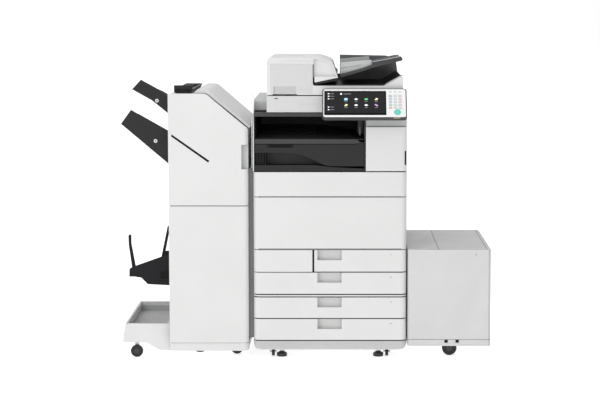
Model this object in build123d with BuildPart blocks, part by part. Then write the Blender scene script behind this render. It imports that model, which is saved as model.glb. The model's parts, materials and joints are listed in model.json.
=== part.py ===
from build123d import *
import math
import os

# Floor-standing colour photocopier: main unit with reader and document feeder,
# booklet finisher on the left, paper deck on the right.
#
# Machine coordinates, in millimetres: x is measured from the middle of the main unit,
# y backwards from its front plane, z up from the floor. The planes and helpers below
# place them in the part's frame, whose origin is the middle of the footprint.

os.makedirs("parts", exist_ok=True)

# ---- Driving dimensions ----
BODY_W, BODY_D = 620, 680          # main unit
FINISHER_LEFT, DECK_RIGHT = -848, 651
PANEL_REACH = 109                  # how far the control panel stands forward
BODY_X = -(FINISHER_LEFT + DECK_RIGHT) / 2
FRONT_Y = -(BODY_D - PANEL_REACH) / 2

WALL = 4                           # covers and sheet panels
REVEAL = 1.5                       # half of the gap between two covers
CLEAR = 0.4                        # radial play on pins and shafts
HALF = BODY_W / 2
FACE = HALF - REVEAL               # half width of a front cover

BASE_Z, SKIRT_TOP = 42, 75
DOOR_BOTTOM, DOOR_TOP, BAND_TOP = 447, 661, 763
CASSETTES = {1: (355, 447), 2: (264, 355), 3: (165, 254), 4: (75, 165)}
CASSETTE_SPLIT = (-71, -64)        # fixed panel ends, narrow cassette 1 begins
HANDLE_X, HANDLE_DROP = (-51, 47), 41
FRONT_DEPTH = 30                   # depth of a cassette front
CORNER = 24                        # plan radius of the fronts' outer corners
SHELL = 3                          # wall of the fronts
SIDE_Y = 32                        # side covers start behind the fronts
TRAY_DEPTH = 520

CAVITY_RIGHT, CAVITY_BACK, CAVITY_TOP = 144, 560, 1003
COLUMN_TOP = 943
READER_X, READER_D = (-254, 305), 610
READER_TOP = 1068
FEEDER_X, FEEDER_D = (-254, 293), 575
FEEDER_LOW, FEEDER_TOP = 1072, 1226
FEEDER_DECK, FEEDER_SHOULDER = 1109, 1196
FEEDER_STEP = -69                  # full-height left part ends here

PANEL_W, PANEL_L, PANEL_T = 336, 152, 20
PANEL_TILT = math.radians(36)      # lean back from the vertical
PANEL_X, PANEL_FOOT_Z = 137.5, 976

FIN_X, FIN_D = (-650, -329), 628
FIN_BASE, FIN_TOP = 66, 1077
FIN_SPLIT = 625
FIN_SLOPE = ((-499, 1077), (-329, 934))
FIN_SKIN = 26                      # depth of the finisher's doors

DECK_X, DECK_D = (314, 651), 610
DECK_BASE, DECK_TOP = 46, 447
DECK_LID_X = (441, 635)

FOOT_X, FOOT_Y = 197, (60, 620)
CASTER_X, CASTER_R = 232, 18


# ---- Planes and helpers in machine coordinates ----
def front(y):
    """Upright plane facing forwards; sketch axes are x and z."""
    return Plane(origin=(BODY_X, FRONT_Y + y, 0), x_dir=(1, 0, 0), z_dir=(0, -1, 0))


def side(x):
    """Upright plane facing right; sketch axes are y and z."""
    return Plane(origin=(BODY_X + x, FRONT_Y, 0), x_dir=(0, 1, 0), z_dir=(1, 0, 0))


def level(z):
    """Horizontal plane facing up; sketch axes are x and y."""
    return Plane(origin=(BODY_X, FRONT_Y, z), x_dir=(1, 0, 0), z_dir=(0, 0, 1))


def block(x, y, z, mode=Mode.ADD):
    """Box between pairs of x, y and z limits."""
    centre = (BODY_X + sum(x) / 2, FRONT_Y + sum(y) / 2, sum(z) / 2)
    with Locations(centre):
        Box(x[1] - x[0], y[1] - y[0], z[1] - z[0], mode=mode)


def rod_x(x, y, z, radius, mode=Mode.ADD):
    """Round bar along x."""
    with Locations(Location((BODY_X + sum(x) / 2, FRONT_Y + y, z), (0, 90, 0))):
        Cylinder(radius, x[1] - x[0], mode=mode)


def rod_y(x, y, z, radius, mode=Mode.ADD):
    """Round bar along y."""
    with Locations(Location((BODY_X + x, FRONT_Y + sum(y) / 2, z), (90, 0, 0))):
        Cylinder(radius, y[1] - y[0], mode=mode)


def rod_z(x, y, z, radius, mode=Mode.ADD):
    """Round bar along z."""
    with Locations((BODY_X + x, FRONT_Y + y, sum(z) / 2)):
        Cylinder(radius, z[1] - z[0], mode=mode)


def slab(plane, points, depth, radii=0, mode=Mode.ADD):
    """Prism on a closed outline, with its corners rounded by one radius or a list of radii."""
    with BuildSketch(plane) as outline:
        with BuildLine():
            if radii:
                FilletPolyline(*points, radius=radii, close=True)
            else:
                Polyline(*points, close=True)
        make_face()
    extrude(outline.sketch, amount=depth, mode=mode)


def front_slab(points, y, radii=0, mode=Mode.ADD):
    """Prism on an x-z outline, between two y limits."""
    slab(front(y[1]), points, y[1] - y[0], radii, mode)


def side_slab(points, x, radii=0, mode=Mode.ADD):
    """Prism on a y-z outline, between two x limits."""
    slab(side(x[0]), points, x[1] - x[0], radii, mode)


def pad(x, y, z, radius, mode=Mode.ADD):
    """Box with rounded upright edges."""
    with BuildSketch(level(z[0])) as outline:
        with Locations((sum(x) / 2, sum(y) / 2)):
            RectangleRounded(x[1] - x[0], y[1] - y[0], radius)
    extrude(outline.sketch, amount=z[1] - z[0], mode=mode)


def plate(x, y, z, radius, mode=Mode.ADD):
    """Upright panel facing forwards, with rounded corners."""
    with BuildSketch(front(y[1])) as outline:
        with Locations((sum(x) / 2, sum(z) / 2)):
            RectangleRounded(x[1] - x[0], z[1] - z[0], radius)
    extrude(outline.sketch, amount=y[1] - y[0], mode=mode)


def bowed(x, y, z, radii, mode=Mode.ADD):
    """Box whose left and right upright front corners are rounded by a pair of radii."""
    outline = [(x[0], y[0]), (x[1], y[0]), (x[1], y[1]), (x[0], y[1])]
    slab(level(z[0]), outline, z[1] - z[0], [*radii, 0.5, 0.5], mode)


def round_corner(x, towards, z, radius):
    """Rounds an upright front corner at x; towards is 1 or -1, the way to the body's middle."""
    with BuildSketch(level(z[0])) as waste:
        with Locations((x + towards * radius / 2, radius / 2)):
            Rectangle(radius, radius)
        with Locations((x + towards * radius, radius)):
            Circle(radius, mode=Mode.SUBTRACT)
    extrude(waste.sketch, amount=z[1] - z[0], mode=Mode.SUBTRACT)


# ---- Main unit: frame, feet and covers ----
FRAME_X = 298
FRAME_TOP = 757
FRAME_BACK = 656
DOOR_AXIS_Y, DOOR_AXIS_Z, BAND_AXIS_Z = 7, 461, 675
JAM_AXIS_X, JAM_AXIS_Y, JAM_PIN = 306, 636, 2
LUG_R, LUG_PIN = 6, 2.5

with BuildPart() as main_frame:
    block((-FRAME_X, FRAME_X), (20, FRAME_BACK), (BASE_Z, BASE_Z + WALL))
    for inner in (-FRAME_X, FRAME_X - WALL):
        block((inner, inner + WALL), (34, FRAME_BACK), (BASE_Z, FRAME_TOP))
    block((-FRAME_X, FRAME_X), (FRAME_BACK - WALL, FRAME_BACK), (BASE_Z, FRAME_TOP))
    for shelf in (257, 449, FRAME_TOP):
        block((-FRAME_X, FRAME_X), (34, FRAME_BACK), (shelf, shelf + WALL))
    block((FRAME_X - 8, FRAME_X + 2), (90, 590), (490, 735), Mode.SUBTRACT)
    block((-FRAME_X, FRAME_X), (34, 38), (668, 682))
    for hinge_z, root in ((DOOR_AXIS_Z, 449), (BAND_AXIS_Z, 668)):
        for sign in (-1, 1):
            bracket = sorted((sign * 258, sign * 262))
            rod_x(sorted((sign * 228, sign * 262)), DOOR_AXIS_Y, hinge_z, LUG_PIN)
            block(bracket, (5.2, 38), (hinge_z - LUG_PIN, hinge_z + 5))
            block(bracket, (34, 38), (root, hinge_z + 5))
    for hinge_z in (500, 720):
        block((FRAME_X - 2, JAM_AXIS_X + 2), (JAM_AXIS_Y - 4, 640), (hinge_z - 14, hinge_z - 8))
        rod_z(JAM_AXIS_X, JAM_AXIS_Y, (hinge_z - 14, hinge_z + 8), JAM_PIN)
    for sign in (-1, 1):
        for y in FOOT_Y:
            for cheek in (-15, 12):
                low = sign * CASTER_X + cheek
                block((low, low + 3), (y - 8, y + 8), (14, BASE_Z))
            rod_x((sign * CASTER_X - 15, sign * CASTER_X + 15), y, CASTER_R + 1.5, 4)
main_frame.part.label = "main_frame"
export_step(main_frame.part, "parts/main_frame.step")

for row, y in (("front", FOOT_Y[0]), ("rear", FOOT_Y[1])):
    with BuildPart() as casters:
        for sign in (-1, 1):
            x = sign * CASTER_X
            rod_x((x - 10, x + 10), y, CASTER_R + 1.5, CASTER_R)
            rod_x((x - 11, x + 11), y, CASTER_R + 1.5, 4 + CLEAR, Mode.SUBTRACT)
    casters.part.label = f"main_casters_{row}"
    export_step(casters.part, f"parts/main_casters_{row}.step")

with BuildPart() as leveling_feet:
    for x in (-FOOT_X, FOOT_X):
        for y in FOOT_Y:
            rod_z(x, y, (0, 9), 20.5)
            rod_z(x, y, (9, 14), 13)
            rod_z(x, y, (14, BASE_Z), 6)
leveling_feet.part.label = "leveling_feet"
export_step(leveling_feet.part, "parts/leveling_feet.step")

with BuildPart() as base_skirt:
    bowed((-HALF, HALF), (0, 676), (BASE_Z, SKIRT_TOP - REVEAL), (CORNER, CORNER))
    bowed((-HALF + WALL, HALF - WALL), (WALL, 672), (BASE_Z - 1, SKIRT_TOP),
          (CORNER - WALL, CORNER - WALL), Mode.SUBTRACT)
base_skirt.part.label = "base_skirt"
export_step(base_skirt.part, "parts/base_skirt.step")

# The left cover's front edge sweeps back beside the reader, and its top carries a block
# that fills the step between cover and reader.
LEFT_SWEEP = [(SIDE_Y, SKIRT_TOP), (672, SKIRT_TOP), (672, 1049), (80, 1049), (34, 1018), (4, 950),
              (4, BAND_TOP + REVEAL), (SIDE_Y, BAND_TOP + REVEAL)]
with BuildPart() as left_cover:
    side_slab(LEFT_SWEEP, (-HALF, -HALF + WALL), [1, 8, 8, 20, 50, 60, 2, 2])
    side_slab([(82, 1005), (655, 1005), (655, 1049), (82, 1049)], (-HALF + WALL, -256), [3, 3, 3, 12])
    block((-HALF + 2 * WALL, -260), (88, 651), (1000, 1045), Mode.SUBTRACT)
left_cover.part.label = "left_cover"
export_step(left_cover.part, "parts/left_cover.step")

with BuildPart() as right_cover:
    side_slab([(SIDE_Y, SKIRT_TOP), (672, SKIRT_TOP), (672, 459), (SIDE_Y, 459)], (HALF - WALL, HALF), 4)
    side_slab([(644, 461), (672, 461), (672, 1001), (644, 1001)], (HALF - WALL, HALF), 4)
    block((HALF - WALL, HALF), (648, 668), (455, 465))
right_cover.part.label = "right_cover"
export_step(right_cover.part, "parts/right_cover.step")

with BuildPart() as rear_cover:
    plate((-306, 306), (673, 680), (SKIRT_TOP, 1000), 6)
    block((-252, 304), (613, 675), (996, 1000))
    for column in (-190, 190):
        for row in range(14):
            block((column - 70, column + 70), (672, 681), (480 + 14 * row, 485 + 14 * row), Mode.SUBTRACT)
rear_cover.part.label = "rear_cover"
export_step(rear_cover.part, "parts/rear_cover.step")

# ---- Front door and toner cover, both hinged along their lower edge ----
DOOR_RIM = 26
for name, low, high, axis_z in (
    ("front_door", DOOR_BOTTOM + REVEAL, DOOR_TOP - REVEAL, DOOR_AXIS_Z),
    ("toner_cover", DOOR_TOP + REVEAL, BAND_TOP - REVEAL, BAND_AXIS_Z),
):
    with BuildPart() as door:
        bowed((-FACE, FACE), (0, DOOR_RIM), (low, high), (CORNER, CORNER))
        bowed((-FACE + SHELL, FACE - SHELL), (SHELL, DOOR_RIM + 1), (low - 1, high - SHELL),
              (CORNER - SHELL, CORNER - SHELL), Mode.SUBTRACT)
        for sign in (-1, 1):
            lug = sorted((sign * 236, sign * 252))
            rod_x(lug, DOOR_AXIS_Y, axis_z, LUG_R)
            block(lug, (1, DOOR_AXIS_Y), (axis_z - LUG_R, axis_z + LUG_R))
            rod_x((lug[0] - 1, lug[1] + 1), DOOR_AXIS_Y, axis_z, LUG_PIN + CLEAR, Mode.SUBTRACT)
    door.part.label = name
    export_step(door.part, f"parts/{name}.step")

# ---- Paper cassettes and the fixed panel beside the narrow first one ----
with BuildPart() as drawer_side_panel:
    low, high = CASSETTES[1][0] + REVEAL, CASSETTES[1][1] - REVEAL
    bowed((-FACE, CASSETTE_SPLIT[0]), (0, FRONT_DEPTH), (low, high), (CORNER, 2))
    bowed((-FACE + SHELL, CASSETTE_SPLIT[0] - SHELL), (SHELL, FRONT_DEPTH + 1), (low + SHELL, high - SHELL),
          (CORNER - SHELL, 1), Mode.SUBTRACT)
drawer_side_panel.part.label = "drawer_side_panel"
export_step(drawer_side_panel.part, "parts/drawer_side_panel.step")

for number, (floor, ceiling) in CASSETTES.items():
    left, left_corner = (CASSETTE_SPLIT[1], SHELL + 1) if number == 1 else (-FACE, CORNER)
    low, high = floor + REVEAL, ceiling - REVEAL
    with BuildPart() as cassette_front:
        bowed((left, FACE), (0, FRONT_DEPTH), (low, high), (left_corner, CORNER))
        bowed((left + SHELL, FACE - SHELL), (SHELL, FRONT_DEPTH - SHELL), (low + SHELL, high - SHELL),
              (left_corner - SHELL, CORNER - SHELL), Mode.SUBTRACT)
        block((HANDLE_X[0] - 3, HANDLE_X[1] + 3), (0, 27), (high - HANDLE_DROP - 3, high))
        block(HANDLE_X, (-1, 24), (high - HANDLE_DROP, high - 9), Mode.SUBTRACT)
        block(HANDLE_X, (-1, 14), (high - 10, high + 1), Mode.SUBTRACT)
    cassette_front.part.label = f"cassette_{number}_front"
    export_step(cassette_front.part, f"parts/cassette_{number}_front.step")

    tub_x = (left + 8, 285) if number == 1 else (-285, 285)
    tub_z = (floor + 9, ceiling - 16)
    back = FRONT_DEPTH + TRAY_DEPTH
    with BuildPart() as cassette_tray:
        block(tub_x, (FRONT_DEPTH, back), tub_z)
        inner_x = (tub_x[0] + 3, tub_x[1] - 3)
        block(inner_x, (FRONT_DEPTH + 3, back - 3), (tub_z[0] + 3, tub_z[1] + 1), Mode.SUBTRACT)
        block((inner_x[0] + 30, inner_x[1] - 10), (140, back - 60), (tub_z[0] + 3, tub_z[0] + 8))
        for guide_y in (128, back - 50):
            block((inner_x[0] + 120, inner_x[1] - 120), (guide_y, guide_y + 4), (tub_z[0] + 3, tub_z[1] - 6))
        block((inner_x[0] + 20, inner_x[0] + 24), (240, 360), (tub_z[0] + 3, tub_z[1] - 6))
    cassette_tray.part.label = f"cassette_{number}_tray"
    export_step(cassette_tray.part, f"parts/cassette_{number}_tray.step")

# ---- Right-hand jam door with the folding bypass tray ----
DOOR_Y, DOOR_Z = (SIDE_Y, 640), (463, 760)
BYPASS_Y, BYPASS_Z, BYPASS_AXIS = (130, 500), (487.5, 700), (307, 490.5)
with BuildPart() as right_door:
    side_slab([(DOOR_Y[0], DOOR_Z[0]), (DOOR_Y[1], DOOR_Z[0]), (DOOR_Y[1], DOOR_Z[1]),
               (DOOR_Y[0], DOOR_Z[1])], (300, HALF), 4)
    block((299, 306), (40, 616), (470, 754), Mode.SUBTRACT)
    block((299, 304), (600, 642), (450, 770), Mode.SUBTRACT)
    block((300, 307), (BYPASS_Y[0] - 6, BYPASS_Y[1] + 6), (BYPASS_Z[0] - 6, BYPASS_Z[1] + 6))
    block((302, 311), (BYPASS_Y[0] - 2, BYPASS_Y[1] + 2), (BYPASS_Z[0] - 2, BYPASS_Z[1] + 2),
          Mode.SUBTRACT)
    for hinge_z in (500, 720):
        block((299, 311), (JAM_AXIS_Y - 8, 642), (hinge_z - 17, hinge_z - 7), Mode.SUBTRACT)
        rod_z(JAM_AXIS_X, JAM_AXIS_Y, (hinge_z - 6, hinge_z + 6), 4)
        rod_z(JAM_AXIS_X, JAM_AXIS_Y, (hinge_z - 7, hinge_z + 10), JAM_PIN + CLEAR, Mode.SUBTRACT)
    rod_y(BYPASS_AXIS[0], (BYPASS_Y[0] - 3, BYPASS_Y[1] + 3), BYPASS_AXIS[1], 1.5)
right_door.part.label = "right_door"
export_step(right_door.part, "parts/right_door.step")

with BuildPart() as bypass_tray:
    side_slab([(BYPASS_Y[0], BYPASS_Z[0]), (BYPASS_Y[1], BYPASS_Z[0]), (BYPASS_Y[1], BYPASS_Z[1]),
               (BYPASS_Y[0], BYPASS_Z[1])], (304, HALF - 0.5), 4)
    block((303, 307), (BYPASS_Y[0] + 4, BYPASS_Y[1] - 4), (BYPASS_Z[0] + 18, BYPASS_Z[1] - 4), Mode.SUBTRACT)
    block((308, HALF), (280, 350), (BYPASS_Z[1] - 24, BYPASS_Z[1] + 1), Mode.SUBTRACT)
    rod_y(BYPASS_AXIS[0], (BYPASS_Y[0] - 1, BYPASS_Y[1] + 1), BYPASS_AXIS[1], 1.5 + CLEAR, Mode.SUBTRACT)
bypass_tray.part.label = "bypass_tray"
export_step(bypass_tray.part, "parts/bypass_tray.step")

# ---- Delivery cavity: walls, two trays, and the column on its right ----
TRAY_RIGHT = CAVITY_RIGHT - 7
with BuildPart() as delivery_wall:
    block((-306, 142), (6, CAVITY_BACK + 4), (764, 1001))
    block((-303, 138), (5, CAVITY_BACK), (763, 985), Mode.SUBTRACT)
delivery_wall.part.label = "delivery_wall"
export_step(delivery_wall.part, "parts/delivery_wall.step")

LOWER_TRAY = [(-302, 765), (TRAY_RIGHT, 765), (TRAY_RIGHT, 776), (8, 782), (-60, 790), (-302, 790)]
with BuildPart() as delivery_tray:
    front_slab(LOWER_TRAY, (3, CAVITY_BACK - 1))
    block((-297, TRAY_RIGHT - 5), (9, CAVITY_BACK - 6), (764, 772), Mode.SUBTRACT)
delivery_tray.part.label = "delivery_tray"
export_step(delivery_tray.part, "parts/delivery_tray.step")

with BuildPart() as upper_delivery_tray:
    with BuildSketch(front(12)) as fascia:
        with BuildLine():
            Polyline((-180, 839), (-302, 839), (-302, 894), (95, 894), (TRAY_RIGHT, 880))
            Polyline((TRAY_RIGHT, 880), (TRAY_RIGHT, 785), (12, 785))
            Spline((12, 785), (-62, 808), (-180, 839), tangents=((-1, 0), (-1, 0)))
        make_face()
    extrude(fascia.sketch, amount=9)
    front_slab([(-302, 862), (TRAY_RIGHT, 862), (TRAY_RIGHT, 870), (120, 870), (-40, 892), (-302, 892)],
               (12, CAVITY_BACK - 1))
    block((-297, TRAY_RIGHT - 5), (18, CAVITY_BACK - 6), (860, 866), Mode.SUBTRACT)
    block((-253, -145), (2, 9), (861, 875), Mode.SUBTRACT)
upper_delivery_tray.part.label = "upper_delivery_tray"
export_step(upper_delivery_tray.part, "parts/upper_delivery_tray.step")

with BuildPart() as column_cover:
    bowed((CAVITY_RIGHT, HALF), (0, 34), (766, COLUMN_TOP), (SHELL, CORNER))
    bowed((CAVITY_RIGHT + SHELL, HALF - WALL), (WALL, 35), (765, COLUMN_TOP - SHELL),
          (1, CORNER - WALL), Mode.SUBTRACT)
    block((HALF - WALL, HALF), (33, 642), (764, 1001))
    block((CAVITY_RIGHT, CAVITY_RIGHT + SHELL), (33, CAVITY_BACK), (766, 1001))
    bowed((CAVITY_RIGHT, HALF), (8, 35), (COLUMN_TOP - SHELL, 1001), (SHELL, CORNER))
    bowed((CAVITY_RIGHT + SHELL, HALF - WALL), (12, 36), (COLUMN_TOP - 2 * SHELL, 1002),
          (1, CORNER - WALL), Mode.SUBTRACT)
    block((300, 307), (-1, 16), (790, 847), Mode.SUBTRACT)
column_cover.part.label = "column_cover"
export_step(column_cover.part, "parts/column_cover.step")

# ---- Inside the main unit ----
COLOUR_X = (-215, -95, 25, 145)
with BuildPart() as toner_cartridges:
    for x in COLOUR_X:
        rod_y(x, (44, 520), 712, 38)
        block((x - 30, x + 30), (44, 520), (690, 751))
toner_cartridges.part.label = "toner_cartridges"
export_step(toner_cartridges.part, "parts/toner_cartridges.step")

with BuildPart() as imaging_unit:
    for x in COLOUR_X:
        pad((x - 50, x + 50), (60, 560), (575, 660), 6)
        rod_y(x, (56, 564), 572, 15)
    front_slab([(-270, 500), (196, 500), (196, 545), (-270, 545)], (60, 560), 20)
imaging_unit.part.label = "imaging_unit"
export_step(imaging_unit.part, "parts/imaging_unit.step")

ROLLER_R, SHAFT_R, ROLLER_Z = 18, 6, 650
ROLLER_X = {"fuser_roller": 228, "pressure_roller": 264.6}
with BuildPart() as fixing_frame:
    for y in (44, 594):
        block((206, 287), (y, y + 6), (600, 700))
    block((206, 287), (44, 600), (696, 700))
    block((206, 209), (44, 600), (600, 618))
    for x in ROLLER_X.values():
        rod_y(x, (40, 604), ROLLER_Z, SHAFT_R + CLEAR, Mode.SUBTRACT)
fixing_frame.part.label = "fixing_frame"
export_step(fixing_frame.part, "parts/fixing_frame.step")

for name, x in ROLLER_X.items():
    with BuildPart() as roller:
        rod_y(x, (54, 590), ROLLER_Z, ROLLER_R)
        rod_y(x, (40, 604), ROLLER_Z, SHAFT_R)
    roller.part.label = name
    export_step(roller.part, f"parts/{name}.step")

# ---- Reader ----
GLASS_X, GLASS_Y = (-200, 250), (60, 480)
FEEDER_AXIS_Y, FEEDER_AXIS_Z, FEEDER_LUG_R, FEEDER_PIN_R = 592, 1083, 10, 4
CARRIAGE_X, CARRIAGE_Z = (-240, -208), (1020, 1050)
with BuildPart() as reader_housing:
    pad(READER_X, (0, READER_D), (CAVITY_TOP, READER_TOP), 5)
    inner = ((READER_X[0] + 5, READER_X[1] - 5), (6, READER_D - 6))
    block(*inner, (CAVITY_TOP + 6, READER_TOP - 8), Mode.SUBTRACT)
    block(GLASS_X, GLASS_Y, (READER_TOP - 4, READER_TOP + 1), Mode.SUBTRACT)
    block((GLASS_X[0] + 8, GLASS_X[1] - 8), (GLASS_Y[0] + 8, GLASS_Y[1] - 8),
          (READER_TOP - 10, READER_TOP), Mode.SUBTRACT)
    plate((-120, -38), (-1, 1), (1007, 1037), 3, Mode.SUBTRACT)
    rod_x((READER_X[0] + 3, READER_X[1] - 3), 270, 1034, 4)
    for x in (-180, 180):
        for cheek in (-34, 23):
            block((x + cheek, x + cheek + 11), (578, 606), (READER_TOP, FEEDER_AXIS_Z + 9))
        rod_x((x - 30, x + 30), FEEDER_AXIS_Y, FEEDER_AXIS_Z, FEEDER_PIN_R)
reader_housing.part.label = "reader_housing"
export_step(reader_housing.part, "parts/reader_housing.step")

with BuildPart() as platen_glass:
    block((GLASS_X[0] + 0.5, GLASS_X[1] - 0.5), (GLASS_Y[0] + 0.5, GLASS_Y[1] - 0.5),
          (READER_TOP - 4, READER_TOP))
platen_glass.part.label = "platen_glass"
export_step(platen_glass.part, "parts/platen_glass.step")

with BuildPart() as scan_carriage:
    block(CARRIAGE_X, (70, 470), CARRIAGE_Z)
    block((CARRIAGE_X[0] + 10, CARRIAGE_X[1] - 10), (80, 460), (1044, 1051), Mode.SUBTRACT)
    rod_x((CARRIAGE_X[0] - 1, CARRIAGE_X[1] + 1), 270, 1034, 4 + CLEAR, Mode.SUBTRACT)
scan_carriage.part.label = "scan_carriage"
export_step(scan_carriage.part, "parts/scan_carriage.step")

# ---- Document feeder ----
FEEDER_PROFILE = [
    (FEEDER_X[0], FEEDER_LOW), (FEEDER_X[1], FEEDER_LOW), (FEEDER_X[1], 1150), (218, FEEDER_DECK),
    (FEEDER_STEP, FEEDER_DECK), (FEEDER_STEP, FEEDER_SHOULDER), (FEEDER_X[0], FEEDER_SHOULDER),
]
with BuildPart() as adf_base:
    front_slab(FEEDER_PROFILE, (2, FEEDER_D), [3, 3, 6, 40, 10, 1, 1])
    block((FEEDER_X[0] + 5, FEEDER_STEP - 5), (28, FEEDER_D - 6), (FEEDER_LOW + 5, 1200), Mode.SUBTRACT)
    block((FEEDER_STEP - 6, FEEDER_X[1] - 6), (28, FEEDER_D - 6), (FEEDER_LOW + 5, 1103), Mode.SUBTRACT)
    block((-229, -133), (1, 22), (FEEDER_LOW - 1, 1106), Mode.SUBTRACT)
    for x in (-180, 180):
        rod_x((x - 20, x + 20), FEEDER_AXIS_Y, FEEDER_AXIS_Z, FEEDER_LUG_R)
        block((x - 20, x + 20), (FEEDER_D - 2, FEEDER_AXIS_Y), (FEEDER_LOW + 1, FEEDER_AXIS_Z + FEEDER_LUG_R))
        rod_x((x - 21, x + 21), FEEDER_AXIS_Y, FEEDER_AXIS_Z, FEEDER_PIN_R + CLEAR, Mode.SUBTRACT)
adf_base.part.label = "adf_base"
export_step(adf_base.part, "parts/adf_base.step")

# The cover is a bent shell: flat over the left part, then curving down over the feed slot.
# It turns about its rolled lower left edge.
ROLL_AXIS, ROLL_R = (-250.5, 1200.5), 2.5
with BuildPart() as adf_cover:
    shell_out = [(-253, ROLL_AXIS[1]), (-253, FEEDER_TOP), (-40, FEEDER_TOP), (10, 1208), (32, 1140),
                 (27, 1140), (5, 1204), (-42, 1221), (-248, 1221), (-248, ROLL_AXIS[1])]
    front_slab(shell_out, (3, FEEDER_D - 2), [0.5, 16, 60, 30, 1, 1, 26, 56, 12, 0.5])
    rod_y(ROLL_AXIS[0], (3, FEEDER_D - 2), ROLL_AXIS[1], ROLL_R)
    front_slab([(-250, 1198), (FEEDER_STEP + 2, 1198), (FEEDER_STEP + 2, 1223), (-250, 1223)], (3, 7),
               [0.5, 0.5, 1, 14])
    front_slab([(FEEDER_STEP + 2, 1142), (28, 1142), (5, 1205), (-42, 1222), (FEEDER_STEP + 2, 1222)],
               (16, 20))
    block((FEEDER_STEP + 1, FEEDER_STEP + 3), (3, 20), (1198, 1223))
adf_cover.part.label = "adf_cover"
export_step(adf_cover.part, "parts/adf_cover.step")

TRAY_AXIS, TRAY_BARREL = (48, 1148), 6.5
DOC_TRAY_Y = (34, 545)
with BuildPart() as document_tray:
    low_edge = [(TRAY_AXIS[0], 1143), (126, 1164), (171, 1180), (288, 1208)]
    high_edge = [(290, 1219), (171, 1191), (126, 1175), (TRAY_AXIS[0], 1154)]
    front_slab(low_edge + high_edge, DOC_TRAY_Y)
    rod_y(TRAY_AXIS[0], DOC_TRAY_Y, TRAY_AXIS[1], TRAY_BARREL)
    front_slab([(171, 1180), (288, 1208), (292, 1214), (286, 1226), (171, 1204)], (DOC_TRAY_Y[0], 46),
               [1, 3, 3, 4, 1])
document_tray.part.label = "document_tray"
export_step(document_tray.part, "parts/document_tray.step")

GUIDE_PROFILE = [(42, 1154), (126, 1177), (168, 1192), (168, 1211), (126, 1208), (42, 1200)]
for name, y in (("document_guide_front", (50, 62)), ("document_guide_rear", (516, 528))):
    with BuildPart() as guide:
        front_slab(GUIDE_PROFILE, y, [1, 4, 1, 4, 6, 3])
    guide.part.label = name
    export_step(guide.part, f"parts/{name}.step")

# ---- Control panel ----
panel_face = Plane(
    origin=(BODY_X + PANEL_X, FRONT_Y - PANEL_REACH, PANEL_FOOT_Z),
    x_dir=(1, 0, 0),
    z_dir=(0, -math.cos(PANEL_TILT), math.sin(PANEL_TILT)),
)
SCREEN_CENTRE, SCREEN_SIZE = (-37, 85), (246, 107)
KEY_COLUMNS, KEY_ROWS, KEY_SIZE = (103, 122, 141), (62, 76, 90, 104, 118), (12, 8)
START_AT, START_R = (138, 36), 11.5
PANEL_AXIS_Y, PANEL_AXIS_Z, PANEL_BARREL = -36, 1022, 8
KEY_RISE, KEY_DEPTH = 1.6, 5

with BuildPart() as panel_housing:
    with BuildSketch(panel_face) as outline:
        with Locations((0, PANEL_L / 2)):
            RectangleRounded(PANEL_W, PANEL_L, 9)
    extrude(outline.sketch, amount=-PANEL_T)
    with BuildSketch(panel_face) as pockets:
        with Locations(SCREEN_CENTRE):
            Rectangle(*SCREEN_SIZE)
    extrude(pockets.sketch, amount=-3, mode=Mode.SUBTRACT)
    with BuildSketch(panel_face) as holes:
        with Locations(*[(x, y) for x in KEY_COLUMNS for y in KEY_ROWS]):
            RectangleRounded(KEY_SIZE[0] + 1, KEY_SIZE[1] + 1, 2)
        with Locations(START_AT):
            Circle(START_R + 0.5)
    extrude(holes.sketch, amount=-KEY_DEPTH - 2.5, mode=Mode.SUBTRACT)
    for x in (74, 192):
        rod_x((x, x + 10), PANEL_AXIS_Y, PANEL_AXIS_Z, 11)
        block((x, x + 10), (-62, PANEL_AXIS_Y), (PANEL_AXIS_Z - 11, PANEL_AXIS_Z + 11))
        rod_x((x - 1, x + 11), PANEL_AXIS_Y, PANEL_AXIS_Z, 4 + CLEAR, Mode.SUBTRACT)
panel_housing.part.label = "panel_housing"
export_step(panel_housing.part, "parts/panel_housing.step")

with BuildPart() as touch_screen:
    with BuildSketch(panel_face.offset(-3)) as glass:
        with Locations(SCREEN_CENTRE):
            Rectangle(SCREEN_SIZE[0] - 0.6, SCREEN_SIZE[1] - 0.6)
    extrude(glass.sketch, amount=3.4)
touch_screen.part.label = "touch_screen"
export_step(touch_screen.part, "parts/touch_screen.step")

with BuildPart() as panel_keys:
    with BuildSketch(panel_face.offset(-KEY_DEPTH)) as caps:
        with Locations(*[(x, y) for x in KEY_COLUMNS for y in KEY_ROWS]):
            RectangleRounded(*KEY_SIZE, 1.8)
    extrude(caps.sketch, amount=KEY_DEPTH + KEY_RISE)
panel_keys.part.label = "panel_keys"
export_step(panel_keys.part, "parts/panel_keys.step")

with BuildPart() as start_key:
    with BuildSketch(panel_face.offset(-KEY_DEPTH)) as cap:
        with Locations(START_AT):
            Circle(START_R)
    extrude(cap.sketch, amount=KEY_DEPTH + 2)
start_key.part.label = "start_key"
export_step(start_key.part, "parts/start_key.step")

with BuildPart() as panel_arm:
    block((88, 188), (PANEL_AXIS_Y, 0), (PANEL_AXIS_Z - PANEL_BARREL, PANEL_AXIS_Z + PANEL_BARREL))
    rod_x((88, 188), PANEL_AXIS_Y, PANEL_AXIS_Z, PANEL_BARREL)
    rod_x((72, 204), PANEL_AXIS_Y, PANEL_AXIS_Z, 4)
panel_arm.part.label = "panel_arm"
export_step(panel_arm.part, "parts/panel_arm.step")

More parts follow.
